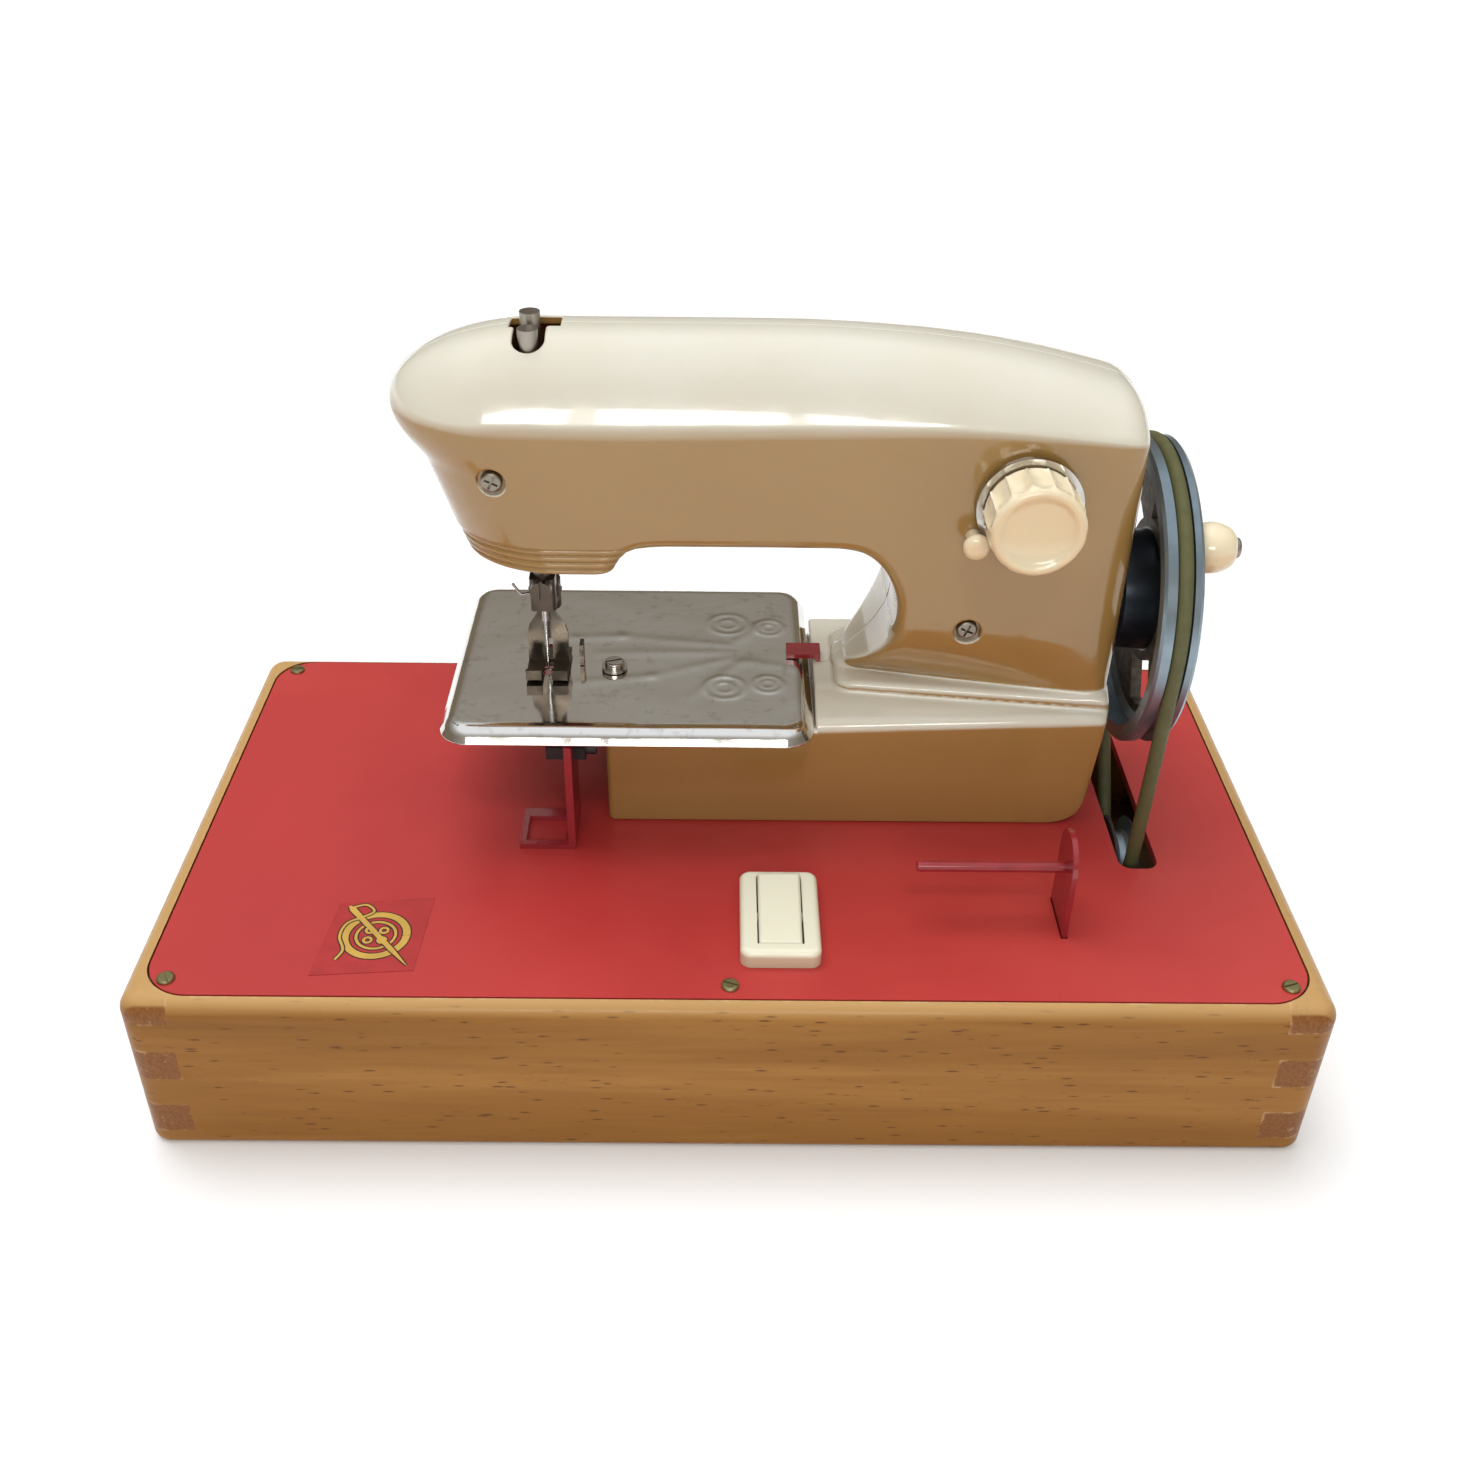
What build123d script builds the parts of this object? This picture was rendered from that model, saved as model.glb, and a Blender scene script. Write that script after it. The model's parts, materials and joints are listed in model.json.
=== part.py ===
from build123d import *
import math
import os

# Child's electric sewing machine on a beech box base.
# Millimetres. +Z up, +X towards the handwheel, +Y away from the operator.
# Origin: centre of the underside of the base.

# ---- base box ----
BASE_L, BASE_W, BASE_H = 330.0, 176.0, 55.0
BOARD_T = 14.0
CORNER_R, RIM_R, FOOT_R = 6.2, 6.0, 2.5
FINGER = 10.4
FIRST_FINGER = 5.7
DECK_TOP = 54.7
DECK_T = 3.0
DECK_BOTTOM = DECK_TOP - DECK_T
DECK_L, DECK_W, DECK_R = 318.2, 167.6, 13.0
DECK_GAP = 0.45
BOTTOM_L, BOTTOM_W, BOTTOM_T = 312.0, 158.0, 3.0
BOTTOM_Z = 0.6
DECK_SCREW_XY = [(-153, 78), (0, 79), (153, 78), (-153, -78), (0, -79), (153, -78)]
BOTTOM_SCREW_XY = [(x, y) for x in (-148, 0, 148) for y in (-72.5, 72.5)]
HEAD_BOLT_XY = [(-20, -1), (60, -1), (-20, 42.5), (52, 42.5)]
CHASSIS_BOLT_XY = [(68, 39), (92, 39)]
MOTOR_EAR_XY = [(107, -30), (107, 18)]
EAR_HOLE_Z, EAR_TIP_Z = 53.9, 53.6
SLOT_X0, SLOT_X1 = 117.0, 128.7
SLOT_Y0, SLOT_Y1 = -27.8, 62.0

# ---- head (two moulded half shells, parted on HEAD_Y) ----
HEAD_Y = 20.0
HALF_D = 24.0
WALL = 2.4
SHOULDER_Z = 182.0
CREST_Z = 203.8
ARM_UNDER_Z = 147.0
NOSE_UNDER_Z = 138.8
BLOCK_X0, BLOCK_X1 = -37.5, 109.0
BLOCK_Y0, BLOCK_Y1 = -6.5, 47.5
LEDGE_X = 25.0
CROWN_STATIONS = [(-101, 1.0), (-50, 1.0), (30, 0.985), (75, 0.80), (116, 0.34)]
NOSE_SCREW = (-66.0, 167.0)
PILLAR_SCREW = (67.5, 122.0)

# ---- needle and presser ----
BAR_X = -55.3
BAR_R = 2.8
NEEDLE_Y, PRESSER_Y = 11.0, 18.0
NEEDLE_TIP_Z = 98.4
PLATE_TOP = 98.2

# ---- shaft, wheel, belt, motor ----
AXIS_Y, AXIS_Z = 20.3, 123.5
SHAFT_R = 3.0
BUSH_R = 5.0
RUN_CLEAR = 0.05
BELT_X = 122.5
BELT_R = 2.1
WHEEL_R = 45.7
WHEEL_X0, WHEEL_X1 = 116.6, 127.6
BELT_ON_WHEEL = 44.6
MOTOR_Y, MOTOR_Z = -6.0, 38.5
BELT_ON_PULLEY = 13.0
PULLEY_R = 15.5
MOTOR_R, MOTOR_L = 12.5, 38.0
MOTOR_FACE_X = 112.0
MOTOR_SHAFT_R = 1.5
CRANK_KNOB_Y, CRANK_KNOB_Z = -3.1, 149.8
GROOVE_CLEAR = 0.3

# ---- linkage inside the head ----
LEVER_X, LEVER_Z = 18.0, 166.0
LEVER_Y0, LEVER_Y1 = 1.5, 4.5
LEVER_RIGHT = 52.0
CRANK_R = 4.7
LOOPER_Y, LOOPER_Z = 24.0, 80.0
LOOPER_ARM = 12.0
SHEET = 1.5
CHASSIS_Y = 34.0
GUIDE_X0 = -60.3
BED_TOP = 97.4

# ---- small fittings ----
KNOB_X, KNOB_Z = 80.0, 163.0
KNOB_R, KNOB_L = 13.2, 14.0
SCALLOPS = 14
PEG_X, PEG_Z = 66.0, 153.0
FACE_Y = HEAD_Y - HALF_D
SPOOL_X, SPOOL_Y, SPOOL_PIN_Z = 94.5, -50.0, 73.5
SPOOL_PIN_R, SPOOL_NECK_R = 1.65, 1.3
SPOOL_PIN_X0, SPOOL_PIN_X1 = 52.0, 93.0
SWITCH_X, SWITCH_Y = 14.0, -53.9
SWITCH_W, SWITCH_L, SWITCH_H = 22.6, 35.8, 5.5
SWITCH_BODY = (SWITCH_X - 9, SWITCH_X + 9, SWITCH_Y - 16.8, SWITCH_Y + 16.8)
ROCKER_Y0, ROCKER_Y1 = -67.4, -40.4
ROCKER_MID = (ROCKER_Y0 + ROCKER_Y1) / 2
ROCKER_PIVOT_Z = 57.0

# ---- cells in the base ----
CELL_R, CELL_L = 16.5, 60.0
TRAY_X0, TRAY_X1 = -128.0, -58.0
CELL_Z = BOTTOM_Z + BOTTOM_T + 2.0 + CELL_R
CELL_YS = (-18.0, 18.0)


def box(x0, x1, y0, y1, z0, z1):
    """Block between two opposite corners."""
    mid = ((x0 + x1) / 2, (y0 + y1) / 2, (z0 + z1) / 2)
    return Pos(*mid) * Box(x1 - x0, y1 - y0, z1 - z0)


def rod_x(r, x0, x1, y, z):
    return Pos((x0 + x1) / 2, y, z) * Rot(0, 90, 0) * Cylinder(r, x1 - x0)


def rod_y(r, y0, y1, x, z):
    return Pos(x, (y0 + y1) / 2, z) * Rot(90, 0, 0) * Cylinder(r, y1 - y0)


def rod_z(r, z0, z1, x, y):
    return Pos(x, y, (z0 + z1) / 2) * Cylinder(r, z1 - z0)


def solid(shape):
    """The largest solid of a result, so that a node is one clean body."""
    return max(shape.solids(), key=lambda s: s.volume)


def joined(shapes):
    """Several separate solids kept together in one node."""
    return Compound(children=[s for shape in shapes for s in shape.solids()])


# ---------------------------------------------------------------- base box
def base_blank():
    blank = box(-BASE_L / 2, BASE_L / 2, -BASE_W / 2, BASE_W / 2, 0, BASE_H)
    blank = fillet(blank.edges().filter_by(Axis.Z), CORNER_R)
    blank = fillet(blank.faces().sort_by(Axis.Z)[-1].edges(), RIM_R)
    blank = fillet(blank.faces().sort_by(Axis.Z)[0].edges(), FOOT_R)
    rebate = Pos(0, 0, DECK_BOTTOM) * extrude(
        RectangleRounded(DECK_L + 2 * DECK_GAP, DECK_W + 2 * DECK_GAP, DECK_R), 10)
    under = extrude(RectangleRounded(BOTTOM_L + 0.6, BOTTOM_W + 0.6, 6), BOTTOM_Z + BOTTOM_T)
    inside = box(-BASE_L / 2 + BOARD_T, BASE_L / 2 - BOARD_T,
                 -BASE_W / 2 + BOARD_T, BASE_W / 2 - BOARD_T, -1, BASE_H + 1)
    return blank - rebate - under - inside


def finger_slabs():
    """Corner heights that belong to the side boards."""
    slabs = []
    z = FIRST_FINGER
    while z < BASE_H:
        slabs.append((z, min(z + FINGER, BASE_H + 1)))
        z += 2 * FINGER
    return slabs


def corner_fingers():
    """The corner wood that the side boards own, over all four corners."""
    parts = []
    for z0, z1 in finger_slabs():
        for sx in (-1, 1):
            for sy in (-1, 1):
                x0, x1 = sorted((sx * (BASE_L / 2 - BOARD_T), sx * (BASE_L / 2 + 1)))
                y0, y1 = sorted((sy * (BASE_W / 2 - BOARD_T), sy * (BASE_W / 2 + 1)))
                parts.append(box(x0, x1, y0, y1, z0, z1))
    return parts


def screw_holes(places, radius, z0, z1):
    return [rod_z(radius, z0, z1, x, y) for x, y in places]


def base_boards():
    blank = base_blank() - screw_holes(DECK_SCREW_XY, 1.2, 38, 60)
    blank = blank - screw_holes(BOTTOM_SCREW_XY, 1.2, -1, 16)
    fingers = corner_fingers()
    boards = {}
    for name, side in (("base_front_board", -1), ("base_rear_board", 1)):
        y0, y1 = sorted((side * (BASE_W / 2 - BOARD_T), side * (BASE_W / 2 + 1)))
        boards[name] = (blank & box(-200, 200, y0, y1, -1, 60)) - fingers
    for name, side in (("base_left_board", -1), ("base_right_board", 1)):
        x0, x1 = sorted((side * (BASE_L / 2 - BOARD_T), side * (BASE_L / 2 + 1)))
        middle = blank & box(x0, x1, -BASE_W / 2 + BOARD_T, BASE_W / 2 - BOARD_T, -1, 60)
        own = [blank & f for f in fingers if (f.center().X > 0) == (side > 0)]
        boards[name] = middle + own
    return {name: solid(board) for name, board in boards.items()}


def deck_panel():
    panel = Pos(0, 0, DECK_BOTTOM) * extrude(RectangleRounded(DECK_L, DECK_W, DECK_R), DECK_T)
    slot = Pos((SLOT_X0 + SLOT_X1) / 2, (SLOT_Y0 + SLOT_Y1) / 2, 0) * extrude(
        RectangleRounded(SLOT_X1 - SLOT_X0, SLOT_Y1 - SLOT_Y0, 4), 80)
    x0, x1, y0, y1 = SWITCH_BODY
    panel = panel - slot - box(x0 - 0.4, x1 + 0.4, y0 - 0.4, y1 + 0.4, 40, 60)
    panel = panel - box(SPOOL_X - 1.0, SPOOL_X + 1.0, SPOOL_Y - 9, SPOOL_Y + 9, 40, 60)
    panel = panel - screw_holes(HEAD_BOLT_XY + CHASSIS_BOLT_XY, 2.2, 40, 60)
    panel = panel - screw_holes(MOTOR_EAR_XY, 1.7, 40, EAR_HOLE_Z)
    panel = panel - screw_holes(DECK_SCREW_XY, 1.7, 40, 60)
    return solid(panel)


def bottom_panel():
    panel = Pos(0, 0, BOTTOM_Z) * extrude(RectangleRounded(BOTTOM_L, BOTTOM_W, 6), BOTTOM_T)
    return solid(panel - screw_holes(BOTTOM_SCREW_XY, 1.7, -1, 10))


def domed_wood_screw(head_r, shank_r, length):
    """Slotted dome-head screw pointing down, underside of the head at z = 0."""
    head = Pos(0, 0, 0.55) * Cylinder(head_r, 1.1)
    head = fillet(head.edges().group_by(Axis.Z)[-1], 0.8)
    head = head - Pos(0, 0, 1.1) * Box(2.2 * head_r, 0.6, 0.9)
    return head + Pos(0, 0, -length / 2) * Cylinder(shank_r, length)


def deck_screws():
    return [Pos(x, y, DECK_TOP) * Rot(0, 0, 40 * i) * domed_wood_screw(2.5, 1.1, 12)
            for i, (x, y) in enumerate(DECK_SCREW_XY)]


def bottom_screws():
    face = BOTTOM_Z
    return [rod_z(2.8, face - 0.5, face, x, y) + rod_z(1.1, face, face + 13, x, y)
            for x, y in BOTTOM_SCREW_XY]


def wood_screws():
    return joined(deck_screws() + bottom_screws())


# ------------------------------------------------------------- head shells
def head_outline():
    """Side outline of arm and pillar."""
    with BuildSketch(Plane.XZ) as sk:
        with BuildLine():
            Polyline((-34, NOSE_UNDER_Z), (-72, NOSE_UNDER_Z), (-80, 147), (-89, 168), (-95.9, 179))
            Spline((-95.9, 179), (-94, 186.5), (-86, 195), (-72, 201.3), (-52, CREST_Z), (0, CREST_Z + 0.4),
                   (45, 202.6), (80, 198), (104, 191.5))
            Polyline((104, 191.5), (112.2, 180), (110.9, 100), (110.9, 88))
            Polyline((110.9, 88), (31, 88), (31, 99))
            Spline((31, 99), (36, 104), (43.5, 112), (47.4, 123), (46.6, 132), (42.5, 140), (36, 145.3),
                   (26, ARM_UNDER_Z))
            Polyline((26, ARM_UNDER_Z), (-26, ARM_UNDER_Z), (-34, NOSE_UNDER_Z))
        make_face()
    return sk.sketch


def cavity_outline():
    """Side outline of the hollow inside arm and pillar."""
    floor = ARM_UNDER_Z + WALL
    with BuildSketch(Plane.XZ) as sk:
        with BuildLine():
            Polyline((-35, NOSE_UNDER_Z + WALL), (-70, NOSE_UNDER_Z + WALL), (-78, 150), (-90, 174),
                     (-92.5, 180), (-84, 192), (-70, 198.5), (-50, 201.2), (0, 201.7), (45, 200),
                     (80, 195.4), (102, 189), (108.8, 179), (108.4, 85), (50.4, 85), (50.4, 128),
                     (47, 139), (38, floor - 0.8), (26, floor), (-27, floor), close=True)
        make_face()
    return sk.sketch


def plan_outline():
    """Arm and pillar from above: blunt round nose, small rear corners."""
    with BuildSketch(Plane.XY) as sk:
        with BuildLine():
            ya, yb = HEAD_Y - HALF_D, HEAD_Y + HALF_D
            Line((-66, ya), (105, ya))
            RadiusArc((105, ya), (112.4, ya + 7.4), -7.4)
            Line((112.4, ya + 7.4), (112.4, yb - 7.4))
            RadiusArc((112.4, yb - 7.4), (105, yb), -7.4)
            Line((105, yb), (-66, yb))
            Spline((-66, yb), (-85, yb - 5), (-96, HEAD_Y), (-85, ya + 5), (-66, ya),
                   tangents=[(-1, 0), (1, 0)])
        make_face()
    return sk.sketch


def cavity_plan():
    """Hollow of arm and pillar from above."""
    half = HALF_D - WALL
    corner = [(108.8, half - 6), (103, half), (-62, half), (-79, 17.5), (-88, 10), (-92.5, 0)]
    points = [(x, HEAD_Y - d) for x, d in corner]
    points += [(x, HEAD_Y + d) for x, d in reversed(corner[:-1])]
    with BuildSketch(Plane.XY) as sk:
        with BuildLine():
            Polyline(*points, close=True)
        make_face()
    return sk.sketch


def crown_section(x, rise, inset):
    """Cross section of the arm at x: straight flanks under a crowned roof."""
    half = HALF_D - inset
    top = SHOULDER_Z + rise * (CREST_Z + 0.6 - SHOULDER_Z) - inset
    base = 80.0
    with BuildSketch(Plane.YZ.offset(x)) as sk:
        with BuildLine():
            ya, yb = HEAD_Y - half, HEAD_Y + half
            lift = top - SHOULDER_Z
            Polyline((ya, SHOULDER_Z), (ya, base), (yb, base), (yb, SHOULDER_Z))
            haunch_z, roof_z = SHOULDER_Z + 0.52 * lift, SHOULDER_Z + 0.86 * lift
            Spline((yb, SHOULDER_Z), (yb - 3.6, haunch_z), (yb - 11.5, roof_z), (HEAD_Y, top),
                   (ya + 11.5, roof_z), (ya + 3.6, haunch_z), (ya, SHOULDER_Z), tangents=[(0, 1), (0, -1)])
        make_face()
    return sk.sketch


def arm_and_pillar(side_sketch, plan_sketch, inset):
    side = Pos(0, 120, 0) * extrude(side_sketch, 240)
    plan = extrude(plan_sketch, 260)
    crown = loft([crown_section(x, rise, inset) for x, rise in CROWN_STATIONS], ruled=True)
    return side & plan & crown


def block_section(x, front_top, back_rise, inset):
    """Bed block section: upright walls, front edge falling to the ledge."""
    y0, y1 = BLOCK_Y0 + inset, BLOCK_Y1 - inset
    with BuildSketch(Plane.YZ.offset(x)) as sk:
        with BuildLine():
            Polyline((y0, DECK_TOP), (y0 - 2, front_top - inset), (y0 + back_rise, 97.2 - inset),
                     (y1, 97.2 - inset), (y1, DECK_TOP), close=True)
        make_face()
    return sk.sketch


def block(inset):
    x0 = BLOCK_X0 - (20 if inset else 0)
    x1 = BLOCK_X1 + 3.2 - inset
    body = loft([block_section(x0, 89.0, 15, inset), block_section(x1, 95.6, 4, inset)], ruled=True)
    with BuildSketch(Plane.XZ) as sk:
        with BuildLine():
            Polyline((x0, DECK_TOP), (BLOCK_X1 - 6 - inset, DECK_TOP), (BLOCK_X1 - inset, DECK_TOP + 6),
                     (x1, 99), (x0, 99), close=True)
        make_face()
    side = Pos(0, 120, 0) * extrude(sk.sketch, 240)
    body = body & side
    return body - box(-70, LEDGE_X - inset, -30, 80, 90.5, 99)


def plinth():
    """Wedge-shaped step that carries the pillar on the bed."""
    with BuildSketch() as sk:
        with BuildLine():
            Polyline((31, 11), (34, 3.2), (112, -5.6), (112, 45.6), (34, 36.8), (31, 29), close=True)
        make_face()
    step = Pos(0, 0, 92) * extrude(sk.sketch, 8.2)
    return fillet(step.faces().sort_by(Axis.Z)[-1].edges(), 2.2)


def head_outside():
    return block(0) + plinth() + arm_and_pillar(head_outline(), plan_outline(), 0)


def head_cavity():
    """Everything hollow inside the two shells, open to the left under the plate."""
    hollow = block(WALL) + arm_and_pillar(cavity_outline(), cavity_plan(), WALL)
    hollow = hollow + box(-60, LEDGE_X - WALL, BLOCK_Y0 + WALL, BLOCK_Y1 - WALL, 60, 95)
    return hollow + box(51, 106, FACE_Y + 8, HEAD_Y + HALF_D - 8, 84, 108)


def screw_post(x, z, y0, y1):
    return rod_y(5.2, y0, y1, x, z)


def head_shells():
    outer = head_outside()
    hull = outer - head_cavity()
    deck_posts = [rod_z(4.6, DECK_TOP, 66, x, y) for x, y in HEAD_BOLT_XY]
    nx, nz = NOSE_SCREW
    px, pz = PILLAR_SCREW
    hull = hull + [p & outer for p in deck_posts]
    hull = hull + (screw_post(nx, nz, FACE_Y, HEAD_Y + HALF_D) & outer)
    hull = hull + (screw_post(px, pz, FACE_Y, 12) & outer)
    hull = hull - [rod_z(1.5, DECK_TOP - 1, 64, x, y) for x, y in HEAD_BOLT_XY]
    hull = hull - rod_y(1.6, -10, 38, nx, nz) - rod_y(1.6, -10, 13, px, pz)
    hull = hull - rod_y(4.0, -10, FACE_Y + 3.2, nx, nz) - rod_y(4.0, -10, FACE_Y + 3.2, px, pz)
    hull = hull - rod_x(7.0, 100, 116, AXIS_Y, AXIS_Z)
    hull = hull - rod_y(2.1, -10, 2, KNOB_X, KNOB_Z) - rod_y(1.6, -10, 2, PEG_X, PEG_Z)
    hull = hull - top_hole() - nose_opening() - box(20, 34, 14, 30, 91, 98.5)
    front = solid(hull & box(-200, 200, -100, HEAD_Y, 0, 300))
    rear = solid(hull & box(-200, 200, HEAD_Y, 100, 0, 300))
    return {"front_shell": front, "rear_shell": rear}


def top_hole():
    """Round notch in the front half, wider square notch in the rear half."""
    front = rod_z(4.6, 190, 215, BAR_X, NEEDLE_Y) + box(BAR_X - 4.6, BAR_X + 4.6, NEEDLE_Y, HEAD_Y, 190, 215)
    return front + box(BAR_X - 5.8, BAR_X + 8, PRESSER_Y - 0.5, PRESSER_Y + 8.5, 190, 215)


def nose_opening():
    return box(-67, -42, 2, 31, 130, 150)


def shell_screws():
    """Cross-recess screws that close the head."""
    made = []
    for (x, z), tip in ((NOSE_SCREW, 36), (PILLAR_SCREW, 14.5)):
        head_y = FACE_Y + 1.0
        screw = rod_y(3.0, head_y, FACE_Y + 3.2, x, z)
        screw = fillet(screw.edges().group_by(Axis.Y)[0], 0.9)
        cross = box(x - 2, x + 2, head_y - 1, head_y + 1.1, z - 0.35, z + 0.35)
        cross = cross + box(x - 0.35, x + 0.35, head_y - 1, head_y + 1.1, z - 2, z + 2)
        turn = Pos(x, 0, z) * Rot(0, 25, 0) * Pos(-x, 0, -z)
        made.append(screw + rod_y(1.5, FACE_Y + 3.2, tip, x, z) - turn * cross)
    return joined(made)


def screw_up(x, y, seat_z, head, shank_r, tip_z):
    """Pan-head screw driven upwards; head is its (radius, height)."""
    return rod_z(head[0], seat_z - head[1], seat_z, x, y) + rod_z(shank_r, seat_z, tip_z, x, y)


def frame_screws():
    """Screws under the deck: head shells, chassis and motor bracket."""
    made = [screw_up(x, y, DECK_BOTTOM, (3.4, 2.4), 1.5, 63) for x, y in HEAD_BOLT_XY]
    made += [screw_up(x, y, DECK_BOTTOM, (3.4, 2.4), 1.8, 60) for x, y in CHASSIS_BOLT_XY]
    made += [screw_up(x, y, DECK_BOTTOM - SHEET, (2.8, 2.0), 1.5, EAR_TIP_Z) for x, y in MOTOR_EAR_XY]
    return joined(made)


# ---------------------------------------------------------------- chassis
def chassis():
    """Pressed steel frame standing on the deck inside the two shells."""
    y0, y1 = CHASSIS_Y, CHASSIS_Y + SHEET
    plate = box(60, 99, y0, y1, DECK_TOP, 176) + box(GUIDE_X0, 99, y0, y1, 154, 178)
    plate = plate + box(GUIDE_X0, -46, y0, y1, 151, 192)
    plate = plate + box(-60, 14, y0, y1, 74, BED_TOP) + box(14, 99, y0, y1, 74, 90)
    guides = box(GUIDE_X0, -46, 5, y1, 190.5, 192) + box(GUIDE_X0, -46, 5, y1, 151, 152.5)
    bearings = box(60.5, 62, 8, y0, 112, 135) + box(97.5, 99, 8, y0, 112, 135)
    looper_lugs = box(-46, -44.5, 16, y0, 72, 88) + box(88, 89.5, 16, y0, 72, 88)
    bed = box(-66, 14, 4, y1, BED_TOP - SHEET, BED_TOP)
    foot = box(62, 98, y1, 43.5, DECK_TOP, DECK_TOP + SHEET)
    tab = box(61.5, 72.4, 12.2, 13.7, 112, 128)
    frame = plate + guides + bearings + looper_lugs + bed + foot + tab
    for y in (NEEDLE_Y, PRESSER_Y):
        frame = frame - rod_z(BAR_R + RUN_CLEAR, 145, 200, BAR_X, y)
    frame = frame - rod_x(BUSH_R, 55, 110, AXIS_Y, AXIS_Z)
    frame = frame - rod_x(2.5 + RUN_CLEAR, -60, 95, LOOPER_Y, LOOPER_Z)
    frame = frame - rod_y(2.5, 30, 40, LEVER_X, LEVER_Z) - rod_y(1.5, 10, 16, *PILLAR_SCREW)
    frame = frame - [rod_z(1.8, 50, 60, x, y) for x, y in CHASSIS_BOLT_XY]
    frame = frame - box(BAR_X - 5, BAR_X + 5, 5, 31, 90, 99) - rod_z(1.5, 90, 99, -35.5, 13)
    return solid(frame)


def shaft_bushes():
    bushes = []
    for x0 in (59.0, 96.0):
        bush = rod_x(BUSH_R, x0, x0 + 4.5, AXIS_Y, AXIS_Z) + rod_x(6.5, x0, x0 + 1.5, AXIS_Y, AXIS_Z)
        bushes.append(bush - rod_x(SHAFT_R + RUN_CLEAR, x0 - 1, x0 + 7, AXIS_Y, AXIS_Z))
    return joined(bushes)


def lever_stud():
    """Fixed stud that the needle lever rocks on, with a keeper head."""
    stud = rod_y(2.5, 1.2, CHASSIS_Y + SHEET, LEVER_X, LEVER_Z) + rod_y(4, 0.2, 1.2, LEVER_X, LEVER_Z)
    return stud + rod_y(4, LEVER_Y1 + 0.3, CHASSIS_Y, LEVER_X, LEVER_Z)


# ------------------------------------------------------- needle bar drive
def needle_lever():
    """Rocking beam: driven at the right end, forked at the needle bar."""
    beam = box(-60, LEVER_RIGHT + 4, LEVER_Y0, LEVER_Y1, LEVER_Z - 4, LEVER_Z + 4)
    beam = fillet(beam.edges().filter_by(Axis.Y), 3.4)
    beam = beam + rod_y(7, LEVER_Y0, LEVER_Y1, LEVER_X, LEVER_Z)
    beam = beam - rod_y(2.5 + RUN_CLEAR, 0, 6, LEVER_X, LEVER_Z)
    beam = beam - box(-62, BAR_X + 4, 0, 6, LEVER_Z - 2.3, LEVER_Z + 2.3)
    return solid(beam + rod_y(1.9, LEVER_Y1, 8.4, LEVER_RIGHT, LEVER_Z))


def needle_yoke():
    """Slotted slide lifted by the crank pin; its stem carries the beam end."""
    x0, x1 = 50.9, 52.9
    head = box(x0, x1, 9, 31, AXIS_Z - 6, AXIS_Z + 6)
    head = head - box(x0 - 1, x1 + 1, 12, 28, AXIS_Z - 2.3, AXIS_Z + 2.3)
    stem = box(x0, x1, 9, 15, AXIS_Z + 6, LEVER_Z - 10)
    fork = box(x0, x1, 5.2, 15, LEVER_Z - 12, LEVER_Z + 5)
    slot = box(x0 - 4, x1 + 4, 5, 9, LEVER_Z - 2.3, LEVER_Z + 2.3)
    return solid(head + stem + fork - slot)


def needle_bar():
    return rod_z(BAR_R, 124.5, 205.2, BAR_X, NEEDLE_Y)


def needle_bar_collar():
    collar = box(BAR_X - 5, BAR_X + 5, 6, 14.0, 163.4, 173) - rod_z(BAR_R, 150, 180, BAR_X, NEEDLE_Y)
    return solid(collar + rod_y(1.9, 1.8, 6, BAR_X, LEVER_Z))


def needle_clamp():
    """Clamp collar on the foot of the bar, gripping the needle shank."""
    body = box(BAR_X - 3.7, BAR_X + 3.7, 6.6, 13.6, 121.5, 132)
    body = fillet(body.edges().filter_by(Axis.Z), 1.5)
    body = body - rod_z(BAR_R, 124.5, 140, BAR_X, NEEDLE_Y) - rod_z(1.0, 115, 125, BAR_X, NEEDLE_Y)
    return solid(body - rod_y(1.2, 5, 8.2, BAR_X, 129.6))


def clamp_screw():
    head = rod_y(3.1, 3.4, 6.3, BAR_X, 129.6) + rod_y(1.15, 6.3, 8.1, BAR_X, 129.6)
    return head - box(BAR_X - 0.4, BAR_X + 0.4, 3, 4.3, 125, 134)


def needle():
    shank = rod_z(1.0, 116, 124.5, BAR_X, NEEDLE_Y) + rod_z(0.6, 102, 116, BAR_X, NEEDLE_Y)
    return shank + Pos(BAR_X, NEEDLE_Y, (102 + NEEDLE_TIP_Z) / 2) * Cone(0.05, 0.6, 102 - NEEDLE_TIP_Z)


def thread_guide():
    """Small hooked wire on the needle clamp."""
    path = FilletPolyline((BAR_X - 3.7, 8, 127), (BAR_X - 6.2, 7, 127), (BAR_X - 8.2, 6, 131), radius=1.0)
    return sweep(Plane(path @ 0, z_dir=path % 0) * Circle(0.4), path=path)


# ----------------------------------------------------------- presser foot
def presser_bar():
    """Round bar with the swaged collar that its spring sits on."""
    return rod_z(BAR_R, 118, 207.4, BAR_X, PRESSER_Y) + rod_z(3.5, 158, 163, BAR_X, PRESSER_Y)


def presser_spring():
    turns, height = 7, 19.2
    path = Helix(pitch=height / turns, height=height, radius=3.3)
    coil = sweep(Plane(path @ 0, z_dir=path % 0) * Circle(0.36), path=path, is_frenet=True)
    return Pos(BAR_X, PRESSER_Y, 163.4) * coil


def foot_outline(half_widths):
    left = [(-w, z) for z, w in half_widths]
    right = [(w, z) for z, w in reversed(half_widths)]
    return left + right


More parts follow.
